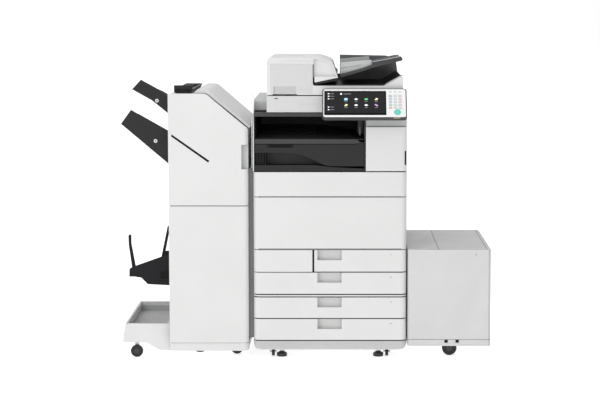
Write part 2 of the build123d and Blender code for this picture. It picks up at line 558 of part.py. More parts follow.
# ---- Finisher ----
FIN_AXIS_X, FIN_AXIS_Y = -642, 8
SLOPE_TOP, SLOPE_END = FIN_SLOPE
CABINET = [(-646, FIN_BASE), (-331, FIN_BASE), (-331, SLOPE_END[1]), (SLOPE_TOP[0], FIN_TOP - 2),
           (-646, FIN_TOP - 2)]
CABINET_IN = [(-642, FIN_BASE + 4), (-335, FIN_BASE + 4), (-335, SLOPE_END[1] - 2),
              (SLOPE_TOP[0] - 2, FIN_TOP - 6), (-642, FIN_TOP - 6)]
EARS_Y = {"left": (150, 156), "right": (384, 390)}
PRESS_AXIS = (-657, 536)
TOP_AXIS_Y, TOP_AXIS_Z, TOP_EAR_X = 634, 1085, (-516, -508)
with BuildPart() as finisher_cabinet:
    front_slab(CABINET, (FIN_SKIN, FIN_D), [2, 2, 14, 30, 2])
    front_slab(CABINET_IN, (FIN_SKIN - 1, FIN_D - 6), [2, 2, 12, 28, 2], Mode.SUBTRACT)
    block((-642, -335), (FIN_SKIN + 4, FIN_D - 6), (FIN_SPLIT - 3, FIN_SPLIT + 1))
    for low in (940, 452):
        block((-650, -640), (80, 560), (low, low + 16), Mode.SUBTRACT)
    for ear in EARS_Y.values():
        block((PRESS_AXIS[0] - 5, -644), ear, (PRESS_AXIS[1] - 6, PRESS_AXIS[1] + 6))
    rod_y(PRESS_AXIS[0], (150, 390), PRESS_AXIS[1], 2.5)
    block(TOP_EAR_X, (FIN_D - 2, 639), (1056, FIN_TOP - 3))
    block(TOP_EAR_X, (FIN_D + 0.5, 639), (1060, TOP_AXIS_Z + 4))
    rod_x((-530, -494), TOP_AXIS_Y, TOP_AXIS_Z, 2)
    for low, high in ((70, 615), (635, 1060)):
        for z in (low + 12, high - 12):
            block((FIN_AXIS_X - 2.5, FIN_AXIS_X + 3), (FIN_AXIS_Y - 3, FIN_SKIN + 1), (z - 9, z - 5))
            rod_z(FIN_AXIS_X, FIN_AXIS_Y, (z - 9, z + 6), LUG_PIN)
finisher_cabinet.part.label = "finisher_cabinet"
export_step(finisher_cabinet.part, "parts/finisher_cabinet.step")

UPPER_DOOR = [(FIN_X[0], FIN_SPLIT + REVEAL), (FIN_X[1], FIN_SPLIT + REVEAL), (FIN_X[1], SLOPE_END[1]),
              (SLOPE_TOP[0], FIN_TOP), (FIN_X[0], FIN_TOP)]
FIN_CORNER, FIN_POST = 20, 21      # rounded right-hand edge and the solid post behind it
SLOPE_FALL = (SLOPE_TOP[1] - SLOPE_END[1]) / (SLOPE_END[0] - SLOPE_TOP[0])
POST_TOP = SLOPE_END[1] + (FIN_POST - 3) * SLOPE_FALL
UPPER_DOOR_IN = [(FIN_X[0] - 5, FIN_SPLIT + 4), (FIN_X[1] - FIN_POST, FIN_SPLIT + 4),
                 (FIN_X[1] - FIN_POST, POST_TOP - 1), (SLOPE_TOP[0] - 1, FIN_TOP - 3),
                 (FIN_X[0] - 5, FIN_TOP - 3)]
LOWER_DOOR = [(FIN_X[0], FIN_BASE), (FIN_X[1], FIN_BASE), (FIN_X[1], FIN_SPLIT - REVEAL),
              (FIN_X[0], FIN_SPLIT - REVEAL)]
LOWER_DOOR_IN = [(FIN_X[0] - 5, FIN_BASE + 3), (FIN_X[1] - FIN_POST, FIN_BASE + 3),
                 (FIN_X[1] - FIN_POST, FIN_SPLIT - 5), (FIN_X[0] - 5, FIN_SPLIT - 5)]
SLASH = [(-637, 915), (-485, 808), (-489, 800), (-637, 905)]
for name, outer, inner, radii, low, high in (
    ("finisher_upper_door", UPPER_DOOR, UPPER_DOOR_IN, [3, 4, 14, 34, 3], 635, 1060),
    ("finisher_lower_door", LOWER_DOOR, LOWER_DOOR_IN, [3, 4, 4, 3], 70, 615),
):
    with BuildPart() as door:
        front_slab(outer, (0, FIN_SKIN - 1.5), radii)
        front_slab(inner, (3, FIN_SKIN), 0, Mode.SUBTRACT)
        round_corner(FIN_X[1], -1, (low - 10, high + 25), FIN_CORNER)
        if name == "finisher_upper_door":
            block((-360, FIN_X[1] - FIN_POST + 1), (3, FIN_SKIN - 4), (766, 879))
            block((-356, FIN_X[1] + 1), (-1, FIN_SKIN - 8), (773, 872), Mode.SUBTRACT)
            front_slab(SLASH, (-1, 4), 0, Mode.SUBTRACT)
        block((FIN_X[0] - 6, FIN_AXIS_X + 8), (FIN_AXIS_Y - 5, FIN_SKIN), (0, 2000), Mode.SUBTRACT)
        for z in (low + 12, high - 12):
            rod_z(FIN_AXIS_X, FIN_AXIS_Y, (z - 4, z + 8), 5.5)
            rod_z(FIN_AXIS_X, FIN_AXIS_Y, (z - 5, z + 9), LUG_PIN + CLEAR, Mode.SUBTRACT)
    door.part.label = name
    export_step(door.part, f"parts/{name}.step")

COVER_PROFILE = [(-548, FIN_TOP + 1), (SLOPE_TOP[0] + 1, FIN_TOP + 1), (-326, SLOPE_END[1] + 4),
                 (-321, SLOPE_END[1] + 9), (SLOPE_TOP[0] + 6, 1091), (-536, 1091)]
with BuildPart() as finisher_top_cover:
    front_slab(COVER_PROFILE, (FIN_SKIN + 4, FIN_D), [1, 22, 2, 2, 34, 5])
    for x in (-530, -504):
        block((x, x + 10), (FIN_D - 2, TOP_AXIS_Y), (TOP_AXIS_Z - 4, TOP_AXIS_Z + 4))
        rod_x((x, x + 10), TOP_AXIS_Y, TOP_AXIS_Z, 4)
        rod_x((x - 1, x + 11), TOP_AXIS_Y, TOP_AXIS_Z, 2 + CLEAR, Mode.SUBTRACT)
    block((TOP_EAR_X[0] - 2, TOP_EAR_X[1] + 2), (616, FIN_D + 1), (1070, 1095), Mode.SUBTRACT)
finisher_top_cover.part.label = "finisher_top_cover"
export_step(finisher_top_cover.part, "parts/finisher_top_cover.step")

with BuildPart() as finisher_exit_guide:
    front_slab([(-626, FIN_TOP - 2), (-562, FIN_TOP - 2), (-552, 1094), (-626, 1094)], (60, 560),
               [1, 1, 3, 3])
    for rib in range(24):
        y = 70 + 20 * rib
        block((-621, -564), (y, y + 10), (1090, 1095), Mode.SUBTRACT)
finisher_exit_guide.part.label = "finisher_exit_guide"
export_step(finisher_exit_guide.part, "parts/finisher_exit_guide.step")

UPPER_TRAY = [(-758, 1134), (-794, 1093), (-720, 1050), (-653, 996), (-653, 1066), (-702, 1100)]
UPPER_IN = [(-760, 1126), (-800, 1086), (-720, 1040), (-659, 990), (-659, 1063), (-704, 1093)]
LOWER_STACK = [(-798, 1013), (FINISHER_LEFT, 956), (-653, 795), (-653, 929)]
LOWER_IN = [(-797, 1004), (-858, 940), (-659, 780), (-659, 926)]
for name, outer, inner, y in (
    ("finisher_upper_tray", UPPER_TRAY, UPPER_IN, (80, 470)),
    ("finisher_lower_tray", LOWER_STACK, LOWER_IN, (60, 490)),
):
    with BuildPart() as tray:
        front_slab(outer, y, 2)
        front_slab(inner, (y[0] + 5, y[1] - 5), 0, Mode.SUBTRACT)
    tray.part.label = name
    export_step(tray.part, f"parts/{name}.step")

STOP_AXIS = (-794, 389)
with BuildPart() as booklet_tray:
    front_slab([(-787, 380), (-717, 400), (-680, 416), (-666, 442), (-653, 442), (-653, 301), (-740, 305),
                (-766, 335), (-812, 337), (-809, 361), (-799, 372)], (120, 420), 2)
    front_slab([(-697, 333), (-658, 333), (-658, 371), (-697, 371)], (119, 421), 5, Mode.SUBTRACT)
    block((-656, -646), (140, 400), (380, 400))
    for ear in ((124, 130), (410, 416)):
        block((STOP_AXIS[0] - 5, STOP_AXIS[0] + 5), ear, (368, STOP_AXIS[1] + 5))
    rod_y(STOP_AXIS[0], (124, 416), STOP_AXIS[1], 2.5)
booklet_tray.part.label = "booklet_tray"
export_step(booklet_tray.part, "parts/booklet_tray.step")

with BuildPart() as booklet_stopper:
    rod_y(STOP_AXIS[0], (133, 407), STOP_AXIS[1], 6)
    front_slab([(-799, 390), (-805, 451), (-814, 504), (-803, 504), (-794, 451), (-789, 390)], (133, 407),
               [0.5, 30, 3, 3, 30, 0.5])
    rod_y(STOP_AXIS[0], (132, 408), STOP_AXIS[1], 2.5 + CLEAR, Mode.SUBTRACT)
booklet_stopper.part.label = "booklet_stopper"
export_step(booklet_stopper.part, "parts/booklet_stopper.step")

with BuildPart() as booklet_press_arm:
    rod_y(PRESS_AXIS[0], (159, 381), PRESS_AXIS[1], 5)
    front_slab([(-661, 536), (-677, 438), (-673, 438), (-656, 532)], (159, 381))
    rod_y(PRESS_AXIS[0], (158, 382), PRESS_AXIS[1], 2.5 + CLEAR, Mode.SUBTRACT)
booklet_press_arm.part.label = "booklet_press_arm"
export_step(booklet_press_arm.part, "parts/booklet_press_arm.step")

OUTRIGGER = [(-833, 139), (-846, 70), (-736, 63), (-693, 40), (-650, 40), (-650, 139)]
WHEEL_R, WHEEL_LIFT = 25, 0.8
FIN_WHEELS = {"left": (-788, (30, 548)), "right": (-383, (94, 548))}
WHEEL_Z = WHEEL_R + WHEEL_LIFT
with BuildPart() as finisher_base:
    front_slab(OUTRIGGER, (34, 560), [6, 6, 10, 10, 2, 2])
    block((-826, -658), (44, 552), (100, 145), Mode.SUBTRACT)
    block((-650, FIN_X[1]), (6, FIN_D - 2), (40, FIN_BASE - 1))
    block((-640, FIN_X[1] - 10), (16, FIN_D - 12), (39, 56), Mode.SUBTRACT)
    for x, rows in FIN_WHEELS.values():
        for y in rows:
            block((x - 32, x + 32), (y - 3, y + 17), (38, 70), Mode.SUBTRACT)
            for cheek in (y - 6, y + 17):
                block((x - 9, x + 9), (cheek, cheek + 3), (WHEEL_Z - 8, FIN_BASE - 1 if x > FIN_X[0] else 76))
            rod_y(x, (y - 6, y + 20), WHEEL_Z, 4)
            if x > FIN_X[0]:
                block((x - 12, x + 12), (y - 6, y + 20), (58, FIN_BASE - 1))
finisher_base.part.label = "finisher_base"
export_step(finisher_base.part, "parts/finisher_base.step")

for end, (x, rows) in FIN_WHEELS.items():
    with BuildPart() as wheels:
        for y in rows:
            rod_y(x, (y, y + 14), WHEEL_Z, WHEEL_R)
            rod_y(x, (y - 1, y + 15), WHEEL_Z, 4 + CLEAR, Mode.SUBTRACT)
    wheels.part.label = f"finisher_wheels_{end}"
    export_step(wheels.part, f"parts/finisher_wheels_{end}.step")

# ---- Paper deck ----
DECK_WHEEL_X, DECK_WHEEL_R, DECK_WHEEL_Y = 489, 30, (66, 520)
DECK_WHEEL_Z = DECK_WHEEL_R + WHEEL_LIFT
with BuildPart() as deck_cabinet:
    pad(DECK_X, (0, DECK_D), (DECK_BASE, DECK_TOP), 14)
    pad((DECK_X[0] + WALL, DECK_X[1] - WALL), (WALL, DECK_D - WALL), (84, DECK_TOP - 12), 10, Mode.SUBTRACT)
    block((DECK_LID_X[0] - 0.5, DECK_LID_X[1] + 0.5), (6, DECK_D - 6), (DECK_TOP - 9, DECK_TOP + 1),
          Mode.SUBTRACT)
    block((DECK_LID_X[0] + 16, DECK_LID_X[1] - 8), (30, DECK_D - 30), (430, DECK_TOP), Mode.SUBTRACT)
    for x in (471, 516):
        block((x - 7, x + 7), (-1, 8), (66, 80), Mode.SUBTRACT)
    for y in DECK_WHEEL_Y:
        block((DECK_WHEEL_X - 34, DECK_WHEEL_X + 34), (y - 3, y + 21), (DECK_BASE - 1, 66), Mode.SUBTRACT)
        for cheek in (y - 6, y + 21):
            block((DECK_WHEEL_X - 10, DECK_WHEEL_X + 10), (cheek, cheek + 3),
                  (DECK_WHEEL_Z - 8, DECK_BASE + 2))
        rod_y(DECK_WHEEL_X, (y - 6, y + 24), DECK_WHEEL_Z, 4)
    for x in (DECK_X[0] + 30, DECK_X[1] - 30):
        for y in (40, DECK_D - 40):
            rod_z(x, y, (24, DECK_BASE + 1), 9)
deck_cabinet.part.label = "deck_cabinet"
export_step(deck_cabinet.part, "parts/deck_cabinet.step")

LID_ROLL = 2                       # radius of the lid's rolled hinge edge
with BuildPart() as deck_lid:
    block((DECK_LID_X[0] + LID_ROLL, DECK_LID_X[1]), (6.5, DECK_D - 6.5), (DECK_TOP - 4, DECK_TOP))
    rod_y(DECK_LID_X[0] + LID_ROLL, (6.5, DECK_D - 6.5), DECK_TOP - LID_ROLL, LID_ROLL)
    block((DECK_LID_X[0] + 20, DECK_LID_X[1] - 12), (34, DECK_D - 34), (DECK_TOP - 8, DECK_TOP - 4))
    block((DECK_LID_X[1] - 4, DECK_LID_X[1] + 1), (250, 350), (DECK_TOP - 5, DECK_TOP - 2), Mode.SUBTRACT)
deck_lid.part.label = "deck_lid"
export_step(deck_lid.part, "parts/deck_lid.step")

with BuildPart() as deck_plate:
    pad((DECK_LID_X[0] + 18, DECK_LID_X[1] - 12), (120, 440), (92, 96), 4)
    block((500, 530), (116, 200), (90, 97), Mode.SUBTRACT)
deck_plate.part.label = "deck_plate"
export_step(deck_plate.part, "parts/deck_plate.step")

with BuildPart() as deck_wheels:
    for y in DECK_WHEEL_Y:
        rod_y(DECK_WHEEL_X, (y, y + 18), DECK_WHEEL_Z, DECK_WHEEL_R)
        rod_y(DECK_WHEEL_X, (y - 1, y + 19), DECK_WHEEL_Z, 4 + CLEAR, Mode.SUBTRACT)
deck_wheels.part.label = "deck_wheels"
export_step(deck_wheels.part, "parts/deck_wheels.step")
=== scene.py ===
import json
import math

import bmesh
import bpy
from mathutils import Matrix, Vector


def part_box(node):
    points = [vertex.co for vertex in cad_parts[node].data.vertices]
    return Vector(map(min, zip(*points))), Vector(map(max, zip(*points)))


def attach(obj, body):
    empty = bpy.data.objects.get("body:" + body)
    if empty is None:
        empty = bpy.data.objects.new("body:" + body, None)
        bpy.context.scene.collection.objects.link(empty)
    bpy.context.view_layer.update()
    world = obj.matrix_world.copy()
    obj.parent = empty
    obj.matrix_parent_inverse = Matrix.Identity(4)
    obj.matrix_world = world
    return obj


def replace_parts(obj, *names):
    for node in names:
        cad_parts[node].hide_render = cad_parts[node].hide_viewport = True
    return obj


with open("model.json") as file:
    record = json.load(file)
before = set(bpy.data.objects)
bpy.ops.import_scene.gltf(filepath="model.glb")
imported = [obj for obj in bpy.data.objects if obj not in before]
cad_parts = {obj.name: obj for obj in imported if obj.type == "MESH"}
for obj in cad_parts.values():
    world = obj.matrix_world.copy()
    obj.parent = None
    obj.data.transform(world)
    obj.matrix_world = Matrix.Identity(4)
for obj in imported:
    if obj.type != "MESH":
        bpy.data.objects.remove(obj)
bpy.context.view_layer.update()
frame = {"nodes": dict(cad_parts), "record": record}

MM = 0.001
MAIN, FEEDER, FINISHER, DECK = "main_unit", "document_feeder", "finisher", "paper_deck"
BODY_OF = {n: body for body, nodes in frame["record"]["behaviour"]["bodies"].items() for n in nodes}
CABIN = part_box("base_skirt")                 # footprint of the main unit
ORIGIN_X = (CABIN[0].x + CABIN[1].x) / 2     # middle of the main unit
ORIGIN_Y = CABIN[0].y                        # its front plane


def at(x, y, z):
    """Machine coordinates in mm (x from the main unit's middle, y from its front) to the row frame."""
    return Vector((ORIGIN_X + x * MM, ORIGIN_Y + y * MM, z * MM))


# ---------------------------------------------------------------- materials
def node_of(tree, kind, **values):
    node = tree.nodes.new(kind)
    for key, value in values.items():
        if key in node.inputs:
            node.inputs[key].default_value = value
        else:
            setattr(node, key, value)
    return node


def ramp(tree, value, low, high, position=(0.0, 1.0)):
    node = tree.nodes.new("ShaderNodeValToRGB")
    node.color_ramp.elements[0].position, node.color_ramp.elements[1].position = position
    node.color_ramp.elements[0].color = (*low, 1)
    node.color_ramp.elements[1].color = (*high, 1)
    tree.links.new(value, node.inputs["Fac"])
    return node.outputs["Color"]


def grey(value):
    return (value, value, value)


def shade(color, factor):
    return tuple(min(1.0, c * factor) for c in color)


class Surface:
    """A procedural material: its shader, and textures on the object's own coordinates."""

    def __init__(self, name):
        self.material = bpy.data.materials.new(name)
        self.material.use_nodes = True
        self.tree = self.material.node_tree
        self.shader = self.tree.nodes["Principled BSDF"]
        self.coords = node_of(self.tree, "ShaderNodeTexCoord").outputs["Object"]

    def texture(self, kind, **values):
        node = node_of(self.tree, kind, **values)
        self.tree.links.new(self.coords, node.inputs["Vector"])
        return node

    def noise(self, scale, detail=3.0, roughness=0.5):
        values = {"Scale": scale, "Detail": detail, "Roughness": roughness}
        return self.texture("ShaderNodeTexNoise", **values).outputs["Fac"]

    def put(self, socket, value):
        self.shader.inputs[socket].default_value = value

    def feed(self, socket, output):
        self.tree.links.new(output, self.shader.inputs[socket])

    def tint(self, value, color, low, high, position=(0.0, 1.0)):
        """Varies the base colour between two factors of a colour."""
        self.feed("Base Color", ramp(self.tree, value, shade(color, low), shade(color, high), position))

    def rough(self, value, low, high, position=(0.0, 1.0)):
        self.feed("Roughness", ramp(self.tree, value, grey(low), grey(high), position))

    def bump(self, height, strength, distance):
        node = node_of(self.tree, "ShaderNodeBump", Strength=strength, Distance=distance)
        self.tree.links.new(height, node.inputs["Height"])
        self.feed("Normal", node.outputs["Normal"])


def moulded(name, color, roughness=0.45, specular=0.45):
    """Injection-moulded plastic: a fine spark-eroded grain, faint flow and handling marks."""
    s = Surface(name)
    s.tint(s.noise(3.5, 4.0, 0.55), color, 0.97, 1.015, (0.3, 0.7))
    s.rough(s.noise(11, 5.0, 0.6), roughness - 0.05, roughness + 0.07, (0.35, 0.7))
    s.bump(s.noise(1400, 2.0, 0.6), 0.35, 0.00006)
    s.put("Specular IOR Level", specular)
    return s.material


def painted(name, color, roughness=0.4, metallic=0.0):
    """Powder coat on sheet: slight orange peel."""
    s = Surface(name)
    s.tint(s.noise(6), color, 0.96, 1.02, (0.3, 0.7))
    s.rough(s.noise(40, 4.0), roughness - 0.04, roughness + 0.06)
    s.bump(s.noise(420, 2.0), 0.25, 0.0001)
    s.put("Metallic", metallic)
    return s.material


def zinc(name, color):
    """Zinc-plated sheet with its faint crystal pattern."""
    s = Surface(name)
    s.tint(s.texture("ShaderNodeTexVoronoi", Scale=90.0).outputs["Color"], color, 0.82, 1.08)
    s.rough(s.noise(60, 5.0), 0.28, 0.45)
    s.bump(s.noise(700, 2.0), 0.15, 0.00004)
    s.put("Metallic", 0.9)
    return s.material


def rubber(name, color, roughness=0.7):
    """Matt rubber, a little dusty."""
    s = Surface(name)
    s.tint(s.noise(35, 6.0, 0.65), color, 0.85, 1.5, (0.4, 0.8))
    s.rough(s.noise(90, 4.0), roughness - 0.1, roughness + 0.12)
    s.bump(s.noise(900, 3.0), 0.4, 0.0001)
    return s.material


def turned_metal(name, color):
    """Steel off the lathe, with fine tool marks."""
    s = Surface(name)
    marks = s.texture("ShaderNodeTexWave", Scale=260.0, Distortion=1.5, Detail=2.0)
    s.tint(marks.outputs["Fac"], color, 0.9, 1.05)
    s.rough(s.noise(120, 4.0), 0.16, 0.32)
    s.put("Metallic", 1.0)
    return s.material


def polished(name, color, roughness=0.08, coat=0.6, glow=0.0, specular=0.5):
    """Smooth glossy plastic or printed glass, with fingerprints in its gloss."""
    s = Surface(name)
    s.rough(s.noise(24, 6.0, 0.65), roughness, roughness + 0.1, (0.45, 0.75))
    s.tint(s.noise(9, 2.0), color, 0.95, 1.03)
    s.put("Specular IOR Level", specular)
    s.put("Coat Weight", coat)
    s.put("Coat Roughness", 0.05)
    if glow:
        s.put("Emission Color", (*color, 1))
        s.put("Emission Strength", glow)
    return s.material


def clear_glass(name):
    """Slightly green sheet glass with fingerprints."""
    s = Surface(name)
    s.put("Base Color", (0.86, 0.93, 0.91, 1))
    s.put("Transmission Weight", 0.85)
    s.put("IOR", 1.5)
    s.rough(s.noise(18, 5.0), 0.02, 0.08, (0.5, 0.8))
    return s.material


WHITE = moulded("warm white moulding", (0.655, 0.655, 0.652))
WHITE_SIDE = moulded("white side moulding", (0.63, 0.632, 0.635))
COOL_WHITE = moulded("cool white moulding", (0.565, 0.565, 0.567))
PALE_GREY = moulded("pale grey moulding", (0.47, 0.475, 0.48))
MID_GREY = moulded("mid grey moulding", (0.22, 0.223, 0.226))
TUB_GREY = moulded("tray grey moulding", (0.12, 0.122, 0.126))
DARK_GREY = moulded("dark grey moulding", (0.045, 0.0455, 0.047), 0.5, specular=0.3)
BLACK = moulded("black moulding", (0.013, 0.013, 0.0145), 0.46, specular=0.3)
BLACK_DEEP = moulded("black inner moulding", (0.006, 0.006, 0.0065), 0.6, specular=0.15)
ZINC = zinc("zinc plated sheet", (0.60, 0.61, 0.62))
STEEL = turned_metal("turned steel", (0.66, 0.66, 0.67))
RUBBER = rubber("caster rubber", (0.012, 0.012, 0.0125))
FOOT = painted("dark zinc foot", (0.035, 0.035, 0.038), 0.4, 0.5)
GLASS = clear_glass("platen glass")
SCREEN = polished("screen glass", (0.003, 0.003, 0.004), 0.2, 0.0, specular=0.1)
SCREEN_FIELD = polished("screen field", (0.012, 0.012, 0.0135), 0.3, 0.0, specular=0.15)
PANEL_WHITE = moulded("panel white", (0.84, 0.84, 0.835))
# darker white whose tone is painted shade, on the skirt and in the feeder's grip recess
SHADED_WHITE = moulded("skirt white painted shade", (0.47, 0.47, 0.468))
BLACK_MATTE = moulded("matte black moulding", (0.020, 0.020, 0.022), 0.72, specular=0.08)
COPPER_FILM = polished("fixing film", (0.16, 0.07, 0.035), 0.2, 0.2)
GREY_RUBBER = rubber("silicone rubber", (0.25, 0.26, 0.26), 0.5)
TEAL = polished("teal key", (0.10, 0.60, 0.48), 0.3, 0.2)
PRINT = painted("printed mark", (0.05, 0.05, 0.055), 0.6)
KEY_TINTS = [polished(f"key tint {n}", tint, 0.35, 0.1) for n, tint in enumerate((
    (0.52, 0.58, 0.66), (0.62, 0.72, 0.66), (0.72, 0.60, 0.62), (0.62, 0.56, 0.30)))]
ICON_TINTS = {name: polished(f"icon {name}", tint, 0.3, 0.1, 0.35) for name, tint in (
    ("blue", (0.35, 0.62, 0.85)), ("white", (0.85, 0.86, 0.88)), ("green", (0.12, 0.50, 0.16)),
    ("cream", (0.85, 0.74, 0.38)), ("purple", (0.50, 0.32, 0.60)), ("grey", (0.20, 0.21, 0.23)))}
TONER_TINTS = [polished(f"toner {name}", tint, 0.3, 0.1) for name, tint in (
    ("yellow", (0.80, 0.62, 0.04)), ("magenta", (0.60, 0.03, 0.22)), ("cyan", (0.02, 0.32, 0.60)),
    ("black", (0.02, 0.02, 0.02)))]
LATCH_GREEN = polished("green latch", (0.05, 0.34, 0.14), 0.3, 0.1)
LAMP_STRIP = polished("lamp strip", (0.8, 0.82, 0.84), 0.2, 0.2)


# ---------------------------------------------------------------- mesh helpers
FLAT = math.radians(0.6)      # faces that meet at less than this lie in one plane
PIERCED = ("rear_cover",)     # plates with many holes, whose triangles are only joined in pairs


def added(name, data):
    """New object in the scene for a mesh, a curve, a lamp or a camera."""
    holder = bpy.data.objects.new(name, data)
    bpy.context.scene.collection.objects.link(holder)
    return holder


def link(name, mesh, material):
    piece = added(name, mesh)
    mesh.materials.clear()
    mesh.materials.append(material)
    return piece


def from_bmesh(name, bm, material):
    mesh = bpy.data.meshes.new(name)
    bmesh.ops.recalc_face_normals(bm, faces=bm.faces)
    bm.to_mesh(mesh)
    bm.free()
    return link(name, mesh, material)


def soften(piece, width, segments=3, angle=32.0):
    """Rounds the edges of a piece and leaves smooth, weighted normals."""
    bevel = piece.modifiers.new("edges", "BEVEL")
    bevel.width = width
    bevel.segments = segments
    bevel.limit_method = "ANGLE"
    bevel.angle_limit = math.radians(angle)
    bevel.miter_outer = "MITER_ARC"
    piece.data.polygons.foreach_set("use_smooth", [True] * len(piece.data.polygons))
    weighted = piece.modifiers.new("normals", "WEIGHTED_NORMAL")
    weighted.keep_sharp = True
    weighted.weight = 60
    settle(piece)
    return piece


def settle(piece):
    """Applies the piece's modifiers to its mesh."""
    bpy.context.view_layer.update()
    graph = bpy.context.evaluated_depsgraph_get()
    mesh = bpy.data.meshes.new_from_object(piece.evaluated_get(graph), depsgraph=graph)
    piece.modifiers.clear()
    piece.data = mesh
    return piece


def place(piece, body):
    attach(piece, body)
    return piece


def refined(node, material, bevel=0.0011):
    """Stands for a CAD node: its own shape, with joined faces and moulded edges."""
    mesh = frame["nodes"][node].data.copy()
    bm = bmesh.new()
    bm.from_mesh(mesh)
    bmesh.ops.remove_doubles(bm, verts=bm.verts, dist=3e-6)
    if node in PIERCED:
        bmesh.ops.join_triangles(bm, faces=bm.faces, angle_face_threshold=FLAT,
                                 angle_shape_threshold=math.radians(60))
    else:
        bmesh.ops.dissolve_limit(bm, angle_limit=FLAT, verts=bm.verts, edges=bm.edges)
    bm.to_mesh(mesh)
    bm.free()
    if mesh.has_custom_normals:
        mesh.normals_split_custom_set([(0, 0, 0)] * len(mesh.loops))
    piece = link(node + "_moulding", mesh, material)
    soften(piece, bevel)
    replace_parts(piece, node)
    return place(piece, BODY_OF[node])


def prism(name, outline, offset, material, body, bevel=0.0008, segments=2, angle=32.0):
    """Extrudes a closed outline of points by an offset vector."""
    bm = bmesh.new()
    near = [bm.verts.new(p) for p in outline]
    far = [bm.verts.new(p + offset) for p in outline]
    bm.faces.new(near)
    bm.faces.new(list(reversed(far)))
    count = len(outline)
    for i in range(count):
        j = (i + 1) % count
        bm.faces.new((near[j], near[i], far[i], far[j]))
    piece = from_bmesh(name, bm, material)
    if bevel:
        soften(piece, bevel, segments, angle)
    return place(piece, body)


def turned(name, profile, centre, axis, material, body, steps=40):
    """Turns a profile of (radius, distance along the axis) about an axis through a point."""
    bm = bmesh.new()
    direction = Vector(axis).normalized()
    spin = direction.to_track_quat("Z", "Y").to_matrix()
    rings = []
    for radius, distance in profile:
        ring = []
        for k in range(steps):
            a = 2 * math.pi * k / steps
            local = Vector((radius * math.cos(a), radius * math.sin(a), distance))
            ring.append(bm.verts.new(centre + spin @ local))
        rings.append(ring)
    for lower, upper in zip(rings, rings[1:]):
        for k in range(steps):
            j = (k + 1) % steps
            bm.faces.new((lower[k], lower[j], upper[j], upper[k]))
    bm.faces.new(list(reversed(rings[0])))
    bm.faces.new(rings[-1])
    piece = from_bmesh(name, bm, material)
    soften(piece, 0.0005, 2, 28.0)
    return place(piece, body)


def joined(name, pieces, body):
    """Joins several pieces into one that rides on a body."""
    bm = bmesh.new()
    materials = []
    for piece in pieces:
        mesh = piece.data
        for material in mesh.materials:
            if material not in materials:
                materials.append(material)
        shift = [materials.index(m) for m in mesh.materials]
        start = len(bm.faces)
        bm.from_mesh(mesh)
        bm.faces.ensure_lookup_table()
        for face in bm.faces[start:]:
            face.material_index = shift[face.material_index]
    mesh = bpy.data.meshes.new(name)
    bm.to_mesh(mesh)
    bm.free()
    for material in materials:
        mesh.materials.append(material)
    for piece in pieces:
        bpy.data.objects.remove(piece)
    return place(added(name, mesh), body)


def block(name, x, y, z, material, body, radius=1.0):
    """Box between machine limits in mm, with rounded edges."""
    low, high = (at(*corner) for corner in zip(x, y, z))
    size = high - low
    bm = bmesh.new()
    bmesh.ops.create_cube(bm, size=1.0)
    for v in bm.verts:
        v.co = Vector(((v.co.x + 0.5) * size.x, (v.co.y + 0.5) * size.y, (v.co.z + 0.5) * size.z)) + low
    piece = from_bmesh(name, bm, material)
    soften(piece, min(radius * MM, min(size) * 0.45))
    return place(piece, body)


def front_prism(name, outline, y, material, body, bevel=0.8, segments=2):
    """Prism on an outline of (x, z), between two depths."""
    points = [at(x, y[0], z) for x, z in outline]
    return prism(name, points, Vector((0, (y[1] - y[0]) * MM, 0)), material, body, bevel * MM, segments)


def side_prism(name, outline, x, material, body, bevel=0.8):
    """Prism on an outline of (y, z), between two x limits."""
    points = [at(x[0], y, z) for y, z in outline]
    return prism(name, points, Vector(((x[1] - x[0]) * MM, 0, 0)), material, body, bevel * MM)


def plan_outline(x, y, radii):
    """Plan of a box whose two front corners are rounded."""
    steps = 8
    points = []
    for corner_x, towards, radius in ((x[0], 1, radii[0]), (x[1], -1, radii[1])):
        arc = []
        for k in range(steps + 1):
            a = math.pi / 2 * k / steps
            arc.append((corner_x + towards * radius * (1 - math.sin(a)), y[0] + radius * (1 - math.cos(a))))
        points += arc[::-1] if towards == 1 else arc
    return [(x[0], y[1])] + points + [(x[1], y[1])]


def bowed(name, x, y, z, radii, material, body, bevel=0.4):
    """Box with rounded front corners in plan."""
    outline = [at(px, py, z[0]) for px, py in plan_outline(x, y, radii)]
    return prism(name, outline, Vector((0, 0, (z[1] - z[0]) * MM)), material, body, bevel * MM, 2, angle=50)


def loft(name, rings, material, body, bevel):
    """Skins a list of rings, each with the same number of points, and closes it on the first ring."""
    bm = bmesh.new()
    loops = [[bm.verts.new(p) for p in ring] for ring in rings]
    for low, high in zip(loops, loops[1:] + loops[:1]):
        for k in range(len(low)):
            j = (k + 1) % len(low)
            bm.faces.new((low[k], low[j], high[j], high[k]))
    return place(soften(from_bmesh(name, bm, material), bevel * MM, 2, 50), body)


def rounded_loop(centre, size, radius, steps=5):
    """Closed loop of a rounded rectangle."""
    points = []
    for sx, sy, start in ((1, 1, 0), (-1, 1, 90), (-1, -1, 180), (1, -1, 270)):
        for k in range(steps + 1):
            a = math.radians(start + 90 * k / steps)
            points.append((centre[0] + sx * (size[0] / 2 - radius) + radius * math.cos(a),
                           centre[1] + sy * (size[1] / 2 - radius) + radius * math.sin(a)))
    return points


def round_loop(centre, radius, steps=32):
    """Closed loop of a circle."""
    return [(centre[0] + radius * math.cos(2 * math.pi * k / steps),
             centre[1] + radius * math.sin(2 * math.pi * k / steps)) for k in range(steps)]


